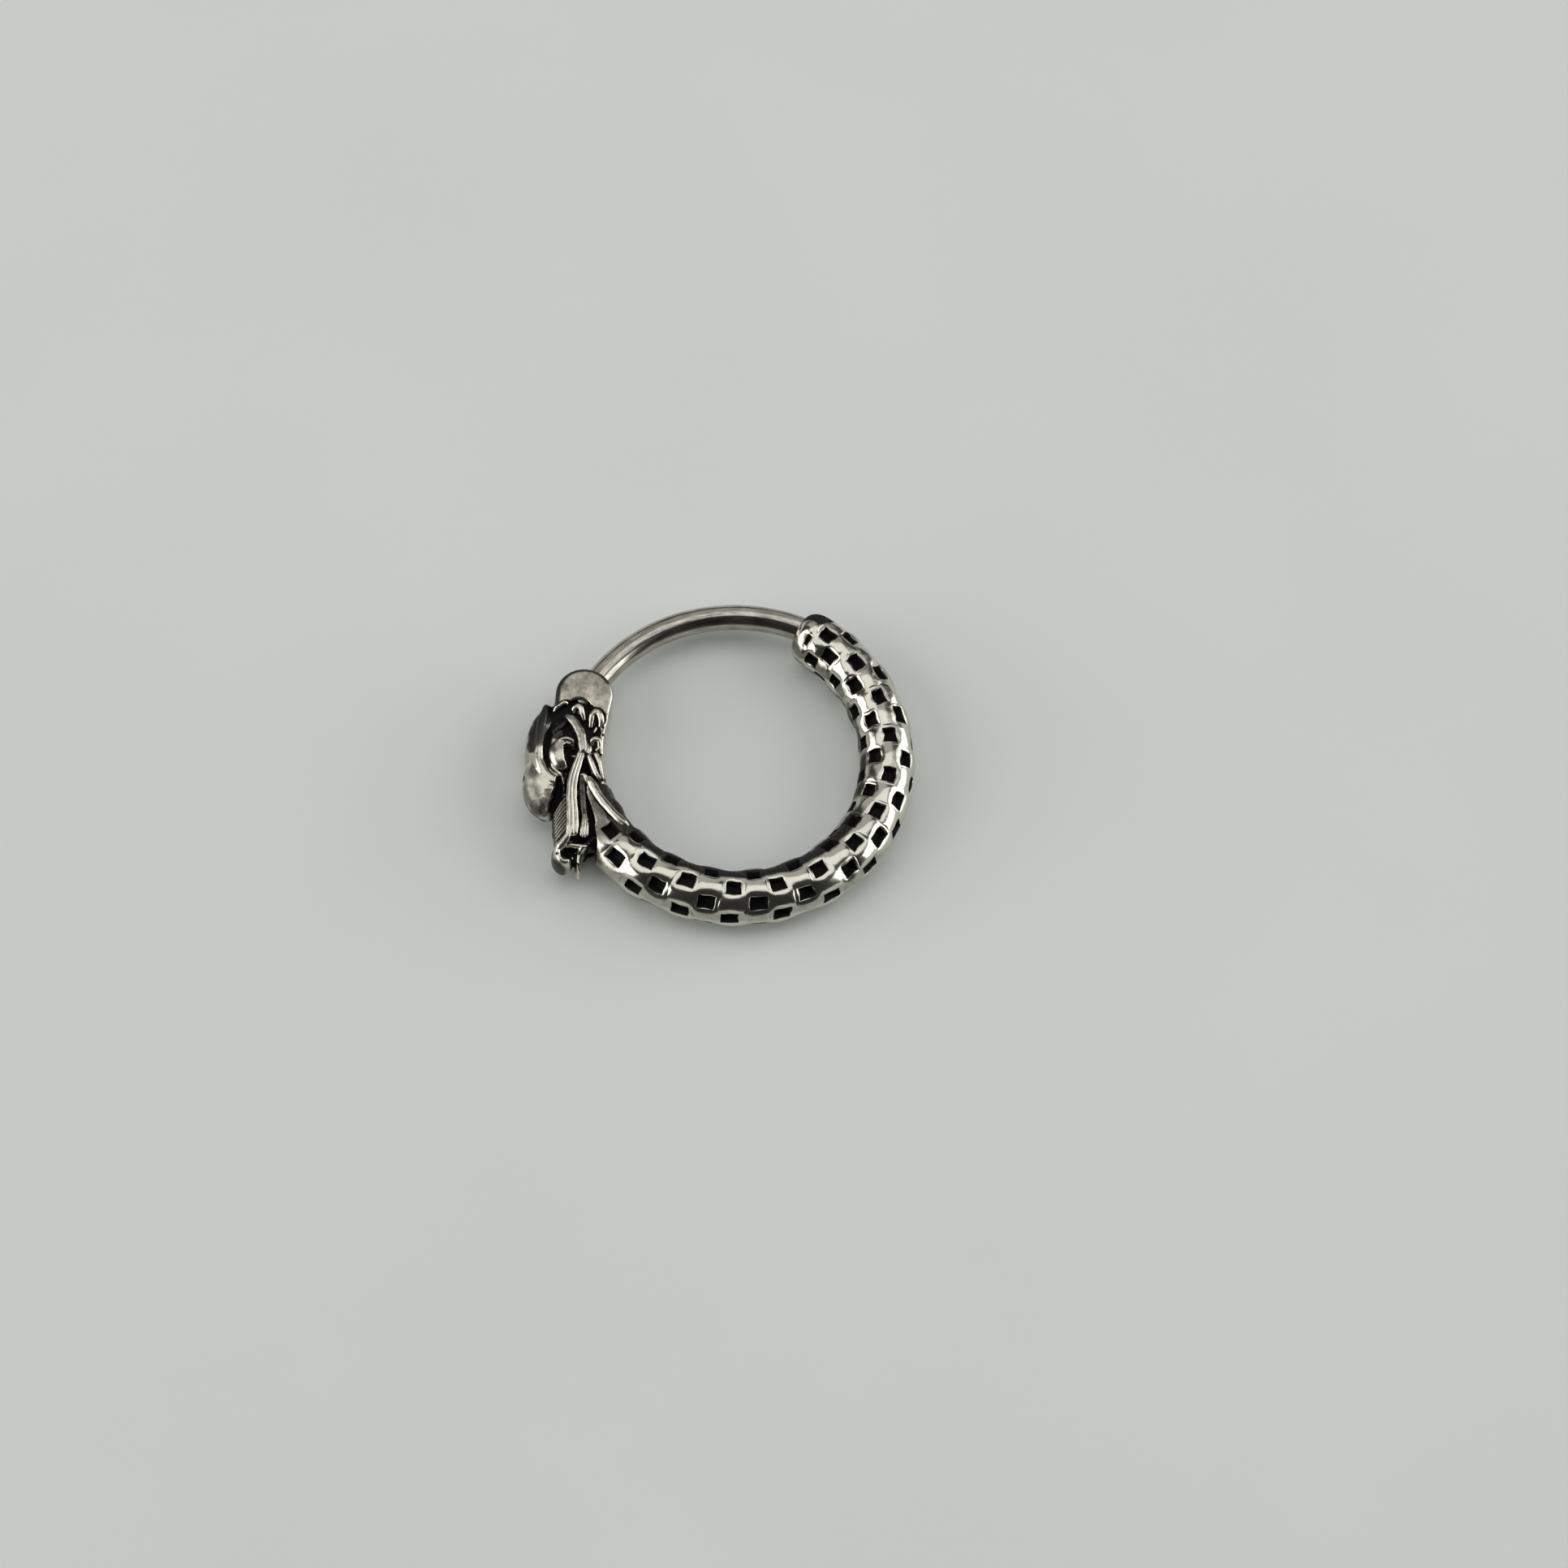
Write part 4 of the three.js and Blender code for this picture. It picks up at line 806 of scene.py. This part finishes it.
def strands():
    """the straps, whisker, curls and mane ribs, each a closed sweep set into the head"""
    V, Q, T3, cav, tarnish_and_shade, base = [], [], [], [], [], 0
    for kind, dull, tall, rows in STRANDS:
        p = catmull(rows, 10)
        q, r = p[:, :3], np.maximum(p[:, 3], 0.01)
        t = np.gradient(q, axis=0)
        t /= np.linalg.norm(t, axis=1)[:, None]
        side = np.cross(np.array([0, 0, 1.0]), t)
        side /= np.linalg.norm(side, axis=1)[:, None]
        top = np.cross(t, side)
        # rounded ends
        k = 5
        e = np.sin(np.linspace(0.12, 1, k, endpoint=False) * np.pi / 2)
        c = 1 - np.cos(np.linspace(0.12, 1, k, endpoint=False) * np.pi / 2)
        head_q = q[0] - t[0] * r[0] * 0.7 * (1 - c[:, None])
        tail_q = (q[-1] + t[-1] * r[-1] * 0.7 * (1 - c[:, None]))[::-1]
        qq = np.vstack([head_q, q, tail_q])
        rr = np.concatenate([r[0] * e, r, (r[-1] * e)[::-1]])
        ss = np.vstack([np.repeat(side[:1], k, 0), side, np.repeat(side[-1:], k, 0)])
        tt = np.vstack([np.repeat(top[:1], k, 0), top, np.repeat(top[-1:], k, 0)])
        a, b, black = section(kind, 56 if kind == "three" else 36)
        m, n = len(a), len(qq)
        along = np.linspace(0, 1, n)[:, None]
        wav = 1 + 0.03 * np.sin(along * 23 + a * 2.0) + 0.02 * np.sin(along * 51 - a * 3.0)
        g = qq[:, None] + (rr[:, None] * a * wav)[..., None] * ss[:, None] + (rr[:, None] * tall * b * wav)[..., None] * tt[:, None]
        V += [g.reshape(-1, 3), qq[:1] - t[:1] * 0.0, qq[-1:]]
        idx = base + np.arange(n * m).reshape(n, m)
        i0, i1 = idx[:-1], idx[1:]
        Q.append(np.stack([i0, np.roll(i0, -1, 1), np.roll(i1, -1, 1), i1], -1).reshape(-1, 4))
        j = np.arange(m)
        T3 += [np.stack([np.full(m, base + n * m), idx[0][(j + 1) % m], idx[0][j]], -1),
               np.stack([np.full(m, base + n * m + 1), idx[-1][j], idx[-1][(j + 1) % m]], -1)]
        cav += [np.tile(black, n), [0, 0]]
        tarnish_and_shade += [np.full(n * m + 2, dull)]
        base += n * m + 2
    V, Q, T3 = np.vstack(V), np.vstack(Q), np.vstack(T3)
    cav, tarnish_and_shade = np.concatenate(cav), np.concatenate(tarnish_and_shade)
    # the same again on the mirrored underside
    W = V * np.array([1, 1, -1.0])
    N = len(V)
    V = np.vstack([V, W])
    Q = np.vstack([Q, Q[:, ::-1] + N])
    T3 = np.vstack([T3, T3[:, ::-1] + N])
    return make_mesh("head_strands", V, [Q, T3], {"cavity": np.tile(cav, 2), "satin": np.full(len(V), 0.38), "tarnish_and_painted_shade": np.tile(tarnish_and_shade, 2)})


# ------------------------------------------------------------------ bar and pin
def revolve(name, profile, centre, sides=96):
    """closed ring or solid of revolution about Z: profile rows of r, z (mm) running round the section"""
    prof = np.array(profile, float)
    a = np.linspace(0, 2 * np.pi, sides, endpoint=False)
    V = np.stack([centre[0] + prof[:, None, 0] * np.cos(a), centre[1] + prof[:, None, 0] * np.sin(a),
                  centre[2] + prof[:, None, 1] * np.ones_like(a)], -1)
    k = len(prof)
    idx = np.arange(k * sides).reshape(k, sides)
    if prof[0, 0] < 1e-9:      # solid: first and last rows are on the axis
        V = V.reshape(-1, 3)
        quads = []
        for i in range(1, k - 2):
            quads.append(np.stack([idx[i], np.roll(idx[i], -1), np.roll(idx[i + 1], -1), idx[i + 1]], -1))
        tris = [np.stack([np.full(sides, idx[0, 0]), np.roll(idx[1], -1), idx[1]], -1),
                np.stack([np.full(sides, idx[-1, 0]), idx[-2], np.roll(idx[-2], -1)], -1)]
        used = np.unique(np.concatenate([np.concatenate(quads).ravel(), np.concatenate(tris).ravel()]))
        remap = np.full(len(V), -1)
        remap[used] = np.arange(len(used))
        return make_mesh(name, V[used], [remap[np.concatenate(quads)], remap[np.concatenate(tris)]])
    nxt = np.roll(idx, -1, 0)
    quads = np.stack([idx, np.roll(idx, -1, 1), np.roll(nxt, -1, 1), nxt], -1).reshape(-1, 4)
    return make_mesh(name, V.reshape(-1, 3), quads)


def hinged_bar():
    a0 = math.atan2(HINGE[1] - BAR_ARC_C[1], HINGE[0] - BAR_ARC_C[0]) - 0.085     # starts inside the knuckle, clear of its bore
    n, m = 150, 64
    a = np.linspace(a0, BAR_END, n)
    ph = np.linspace(0, 2 * np.pi, m, endpoint=False)
    r = np.full(n, BAR_R)
    end = np.linspace(0, 1, 7)[1:]
    A, P = np.meshgrid(a, ph, indexing="ij")
    R = np.repeat(r[:, None], m, 1)
    # rounded free end
    extra_a = BAR_END - 0.09 / BAR_ARC_R * np.sin(end * np.pi / 2)
    extra_r = BAR_R - 0.09 * (1 - np.cos(end * np.pi / 2))
    A = np.vstack([A, np.repeat(extra_a[:, None], m, 1)])
    P = np.vstack([P, np.repeat(ph[None], 6, 0)])
    R = np.vstack([R, np.repeat(extra_r[:, None], m, 1)])
    X = BAR_ARC_C[0] + (BAR_ARC_R + R * np.cos(P)) * np.cos(A)
    Y = BAR_ARC_C[1] + (BAR_ARC_R + R * np.cos(P)) * np.sin(A)
    Z = R * np.sin(P)
    k = len(A)
    V = np.stack([X, Y, Z], -1).reshape(-1, 3)
    idx = np.arange(k * m).reshape(k, m)
    p, q = idx[:-1], idx[1:]
    quads = np.stack([p, q, np.roll(q, -1, 1), np.roll(p, -1, 1)], -1).reshape(-1, 4)
    c0, c1 = len(V), len(V) + 1
    V = np.vstack([V, [V[idx[0]].mean(0)], [V[idx[-1]].mean(0)]])
    j = np.arange(m)
    caps = np.vstack([np.stack([np.full(m, c0), idx[0][j], idx[0][(j + 1) % m]], -1),
                      np.stack([np.full(m, c1), idx[-1][(j + 1) % m], idx[-1][j]], -1)])
    wire = make_mesh("round_bar", V, [quads, caps])
    b = 0.05
    knuckle = revolve("knuckle", [
        (BAR_BORE_R, -KNUCKLE_HALF + b), (BAR_BORE_R + b * 0.3, -KNUCKLE_HALF + b * 0.3), (BAR_BORE_R + b, -KNUCKLE_HALF),
        (KNUCKLE_R - b, -KNUCKLE_HALF), (KNUCKLE_R - b * 0.3, -KNUCKLE_HALF + b * 0.3), (KNUCKLE_R, -KNUCKLE_HALF + b),
        (KNUCKLE_R, KNUCKLE_HALF - b), (KNUCKLE_R - b * 0.3, KNUCKLE_HALF - b * 0.3), (KNUCKLE_R - b, KNUCKLE_HALF),
        (BAR_BORE_R + b, KNUCKLE_HALF), (BAR_BORE_R + b * 0.3, KNUCKLE_HALF - b * 0.3), (BAR_BORE_R, KNUCKLE_HALF - b)][::1],
        HINGE, 80)
    boolean(wire, knuckle, "UNION")
    return wire


def pin():
    b = 0.03
    return revolve("pin", [(0, -EAR_TOP), (PIN_R - b, -EAR_TOP), (PIN_R, -EAR_TOP + b), (PIN_R, PIN_BLIND - b), (PIN_R - b, PIN_BLIND), (0, PIN_BLIND)][::-1], HINGE, 48)


# ------------------------------------------------------------------ build the pieces
body = scaled_body()
a0, a1 = math.radians(LATCH_FROM), math.radians(84)
cut = prism("latch_cut", [(LATCH_INNER_R * math.cos(a0), LATCH_INNER_R * math.sin(a0)), (8.2 * math.cos(a0), 8.2 * math.sin(a0)),
                          (8.2 * math.cos(a1), 8.2 * math.sin(a1)), (LATCH_INNER_R * math.cos(a1), LATCH_INNER_R * math.sin(a1))], -LATCH_HALF, LATCH_HALF)
boolean(body, cut, "DIFFERENCE")
# the scales begin along a line beside the straps; what is left of it is the dark channel
NECK_EDGE = [(-3.6, -1.9), (-4.50, -2.62), (-4.88, -2.76), (-5.12, -2.80), (-5.24, -2.95), (-5.14, -3.32), (-4.96, -3.66), (-4.81, -3.97),
             (-4.69, -4.20), (-4.60, -4.44), (-4.58, -4.62), (-4.46, -4.93), (-4.36, -5.23), (-4.30, -5.55), (-4.25, -5.90), (-4.45, -6.30), (-4.6, -7.4)]
cut = prism("neck_cut", [(-8.4, -7.4), *reversed(NECK_EDGE), (-8.4, -1.9)], -1.3, 1.3)
boolean(body, cut, "DIFFERENCE")
mark_walls(body, NECK_EDGE)
head = dragon_head()
strand_ob = strands()
bar = hinged_bar()
pinob = pin()


# ------------------------------------------------------------------ materials
def nodes_of(name):
    m = bpy.data.materials.new(name)
    m.use_nodes = True
    nt = m.node_tree
    b = nt.nodes["Principled BSDF"]
    return m, nt, b


def math_node(nt, op, a, b=None, clamp=False):
    n = nt.nodes.new("ShaderNodeMath")
    n.operation, n.use_clamp = op, clamp
    for i, v in enumerate((a, b)):
        if v is None:
            continue
        if isinstance(v, (int, float)):
            n.inputs[i].default_value = v
        else:
            nt.links.new(v, n.inputs[i])
    return n.outputs[0]


def mix_rgb(nt, fac, a, b):
    n = nt.nodes.new("ShaderNodeMix")
    n.data_type = "RGBA"
    for key, v in ((0, fac), (6, a), (7, b)):
        if isinstance(v, (int, float)):
            n.inputs[key].default_value = v
        elif isinstance(v, tuple):
            n.inputs[key].default_value = v
        else:
            nt.links.new(v, n.inputs[key])
    return n.outputs[2]


def noise(nt, vec, scale, detail=3, rough=0.5):
    n = nt.nodes.new("ShaderNodeTexNoise")
    n.inputs["Scale"].default_value = scale
    n.inputs["Detail"].default_value = detail
    n.inputs["Roughness"].default_value = rough
    nt.links.new(vec, n.inputs["Vector"])
    return n.outputs["Fac"]


def attr(nt, name):
    n = nt.nodes.new("ShaderNodeAttribute")
    n.attribute_name = name
    return n.outputs["Fac"]


def ramp(nt, fac, stops):
    n = nt.nodes.new("ShaderNodeValToRGB")
    els = n.color_ramp.elements
    els[0].position, els[0].color = stops[0]
    els[1].position, els[1].color = stops[-1]
    for p, c in stops[1:-1]:
        e = els.new(p)
        e.color = c
    nt.links.new(fac, n.inputs[0])
    return n.outputs[0]


def grey(v):
    return (v, v, v, 1)


def cast_steel():
    m, nt, b = nodes_of("antiqued_steel")
    pos = nt.nodes.new("ShaderNodeTexCoord").outputs["Object"]
    cav, sat, tarnish_and_shade = math_node(nt, "MAXIMUM", attr(nt, "cavity"), attr(nt, "wall")), attr(nt, "satin"), attr(nt, "tarnish_and_painted_shade")
    n_big = noise(nt, pos, 900, 4, 0.6)
    n_fine = noise(nt, pos, 9000, 3, 0.6)
    # black oxide in the recesses, its edge worn unevenly
    edge = math_node(nt, "ADD", cav, math_node(nt, "MULTIPLY", math_node(nt, "SUBTRACT", n_fine, 0.5), 0.5))
    black = ramp(nt, edge, [(0.34, grey(0)), (0.62, grey(1))])
    # polished metal, faintly clouded
    clean = ramp(nt, n_big, [(0.3, (0.605, 0.590, 0.500, 1)), (0.7, (0.725, 0.708, 0.615, 1))])
    cloud = ramp(nt, noise(nt, pos, 1700, 5, 0.65), [(0.36, (0.30, 0.272, 0.222, 1)), (0.64, (0.79, 0.735, 0.625, 1))])
    steel = mix_rgb(nt, sat, clean, cloud)
    # dull dark grey over the metal: tarnish on the head and strands, and on the body partly painted shade
    dull = ramp(nt, math_node(nt, "ADD", math_node(nt, "MULTIPLY", tarnish_and_shade, 0.8), math_node(nt, "MULTIPLY", noise(nt, pos, 4200, 4, 0.65), 0.4)), [(0.35, grey(0)), (0.85, grey(1))])
    steel = mix_rgb(nt, dull, steel, (0.055, 0.052, 0.046, 1))
    col = mix_rgb(nt, black, steel, (0.007, 0.0065, 0.007, 1))
    b.inputs["Specular IOR Level"].default_value = 0.2
    nt.links.new(col, b.inputs["Base Color"])
    b.inputs["Metallic"].default_value = 1.0
    metal = math_node(nt, "SUBTRACT", 1.0, math_node(nt, "MULTIPLY", black, 0.9))
    nt.links.new(metal, b.inputs["Metallic"])
    r0 = math_node(nt, "ADD", 0.11, math_node(nt, "MULTIPLY", n_big, 0.13))
    r1 = math_node(nt, "ADD", r0, math_node(nt, "MULTIPLY", sat, 0.22))
    r2 = math_node(nt, "ADD", math_node(nt, "ADD", r1, math_node(nt, "MULTIPLY", dull, 0.15)), math_node(nt, "MULTIPLY", black, 0.45), clamp=True)
    nt.links.new(r2, b.inputs["Roughness"])
    bump = nt.nodes.new("ShaderNodeBump")
    bump.inputs["Strength"].default_value = 0.25
    bump.inputs["Distance"].default_value = 0.000012
    nt.links.new(math_node(nt, "ADD", n_fine, math_node(nt, "MULTIPLY", n_big, 2.0)), bump.inputs["Height"])
    nt.links.new(bump.outputs[0], b.inputs["Normal"])
    return m


def bar_steel():
    m, nt, b = nodes_of("polished_bar_steel")
    co = nt.nodes.new("ShaderNodeTexCoord").outputs["Object"]
    # coordinates along the bar's arc: angle, radius and height, so that the streaks run lengthwise
    cx, cy = float((BAR_ARC_C[0] + C[0]) * MM), float((BAR_ARC_C[1] + C[1]) * MM)
    sep = nt.nodes.new("ShaderNodeSeparateXYZ")
    nt.links.new(co, sep.inputs[0])
    x = math_node(nt, "SUBTRACT", sep.outputs[0], cx)
    y = math_node(nt, "SUBTRACT", sep.outputs[1], cy)
    ang = math_node(nt, "ARCTAN2", y, x)
    rad = math_node(nt, "SQRT", math_node(nt, "ADD", math_node(nt, "MULTIPLY", x, x), math_node(nt, "MULTIPLY", y, y)))
    comb = nt.nodes.new("ShaderNodeCombineXYZ")
    nt.links.new(math_node(nt, "MULTIPLY", ang, 0.0006), comb.inputs[0])
    nt.links.new(rad, comb.inputs[1])
    nt.links.new(sep.outputs[2], comb.inputs[2])
    streak = noise(nt, comb.outputs[0], 16000, 3, 0.6)
    cloud = noise(nt, co, 1200, 3, 0.5)
    col = ramp(nt, math_node(nt, "ADD", math_node(nt, "MULTIPLY", streak, 0.6), math_node(nt, "MULTIPLY", cloud, 0.4)),
               [(0.32, (0.20, 0.188, 0.155, 1)), (0.66, (0.65, 0.628, 0.548, 1))])
    nt.links.new(col, b.inputs["Base Color"])
    b.inputs["Metallic"].default_value = 1.0
    nt.links.new(math_node(nt, "ADD", 0.13, math_node(nt, "MULTIPLY", streak, 0.14)), b.inputs["Roughness"])
    bump = nt.nodes.new("ShaderNodeBump")
    bump.inputs["Strength"].default_value = 0.35
    bump.inputs["Distance"].default_value = 0.000006
    nt.links.new(streak, bump.inputs["Height"])
    nt.links.new(bump.outputs[0], b.inputs["Normal"])
    return m


def pin_steel():
    m, nt, b = nodes_of("turned_pin_steel")
    co = nt.nodes.new("ShaderNodeTexCoord").outputs["Object"]
    n = noise(nt, co, 6000, 3, 0.6)
    nt.links.new(ramp(nt, n, [(0.3, (0.42, 0.41, 0.39, 1)), (0.7, (0.62, 0.61, 0.58, 1))]), b.inputs["Base Color"])
    b.inputs["Metallic"].default_value = 1.0
    nt.links.new(math_node(nt, "ADD", 0.22, math_node(nt, "MULTIPLY", n, 0.15)), b.inputs["Roughness"])
    return m


m_cast, m_bar, m_pin = cast_steel(), bar_steel(), pin_steel()
for ob, m, node, slot, rides in ((body, m_cast, "cast_hoop", "cast_steel", "hoop"), (head, m_cast, "cast_hoop", "cast_steel", "hoop"),
                                 (strand_ob, m_cast, "cast_hoop", "cast_steel", "hoop"),
                                 (bar, m_bar, "hinged_bar", "bar_steel", "bar"), (pinob, m_pin, "hinge_pin", "pin_steel", "hoop")):
    ob.data.materials.clear()
    ob.data.materials.append(m)
    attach(ob, rides)
    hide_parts(node)

# ------------------------------------------------------------------ stage, lights, camera
fl = bpy.data.meshes.new("floor")
S = 3.0
fl.from_pydata([(-S, -S, 0), (S, -S, 0), (S, S, 0), (-S, S, 0)], [], [(0, 1, 2, 3)])
floor = bpy.data.objects.new("floor", fl)
bpy.context.scene.collection.objects.link(floor)
mf, nt, b = nodes_of("pale_floor")
co = nt.nodes.new("ShaderNodeTexCoord").outputs["Object"]
nt.links.new(ramp(nt, noise(nt, co, 60, 3, 0.5), [(0.3, (0.790, 0.820, 0.787, 1)), (0.7, (0.810, 0.840, 0.807, 1))]), b.inputs["Base Color"])
b.inputs["Roughness"].default_value = 0.75
fl.materials.append(mf)


BOX_TURN = math.radians(20)        # the light box stands turned a little against the hoop


def softbox(name, azimuth, centre, size, radiance):
    """a rectangular softbox facing the hoop: centre is (distance out, height) in metres, azimuth 0 is behind the hoop"""
    a = math.radians(azimuth) - BOX_TURN
    L = bpy.data.lights.new(name, "AREA")
    L.shape, L.size, L.size_y = "RECTANGLE", size[0], size[1]
    L.energy = radiance * math.pi * size[0] * size[1]
    o = bpy.data.objects.new(name, L)
    o.location = (math.sin(a) * centre[0], math.cos(a) * centre[0], centre[1])
    o.rotation_mode = "XYZ"
    tilt = math.radians(-90) if name != "top" else 0.0
    o.rotation_euler = (tilt, 0, -a)
    bpy.context.scene.collection.objects.link(o)
    return o


softbox("top", 0, (0.12, 0.50), (0.74, 0.38), 1.06)
softbox("side_right", 90, (0.50, 0.27), (0.62, 0.48), 2.25)
softbox("side_left", -90, (0.50, 0.27), (0.62, 0.48), 2.25)
softbox("back", 0, (0.60, 0.52), (0.70, 0.72), 0.45)

w = bpy.data.worlds.new("studio")
bpy.context.scene.world = w
w.use_nodes = True
bg = w.node_tree.nodes["Background"]
bg.inputs[0].default_value = (0.03, 0.03, 0.031, 1)
bg.inputs[1].default_value = 1.0

ELEV, ROLL = math.radians(64.06), math.radians(-11.81)
DIST, FOCAL_PX, FRAME_PX = 134.2, 4225.0, 1932.0
CENTRE_PX = (902.4, 929.4)
U = Vector((1, 0, 0))
Vv = Vector((0, math.sin(ELEV), math.cos(ELEV)))
Fw = Vector((0, math.cos(ELEV), -math.sin(ELEV)))
ax = math.cos(ROLL) * U - math.sin(ROLL) * Vv
up = math.sin(ROLL) * U + math.cos(ROLL) * Vv
dx, dy = CENTRE_PX[0] - FRAME_PX / 2, FRAME_PX / 2 - CENTRE_PX[1]
fwd = (Fw * FOCAL_PX - ax * dx - up * dy).normalized()
right = fwd.cross(up).normalized()
up2 = right.cross(fwd).normalized()
cam = bpy.data.cameras.new("camera")
cam.lens = 36.0 * FOCAL_PX / FRAME_PX
cam.sensor_width = 36.0
cam.clip_start, cam.clip_end = 0.005, 20
co = bpy.data.objects.new("camera", cam)
ringc = Vector(tuple(float(c) * MM for c in C))
co.matrix_world = Matrix.Translation(ringc - Fw * (DIST * MM)) @ Matrix((right, up2, -fwd)).transposed().to_4x4()
bpy.context.scene.collection.objects.link(co)
bpy.context.scene.camera = co
bpy.context.scene.view_settings.view_transform = "Standard"
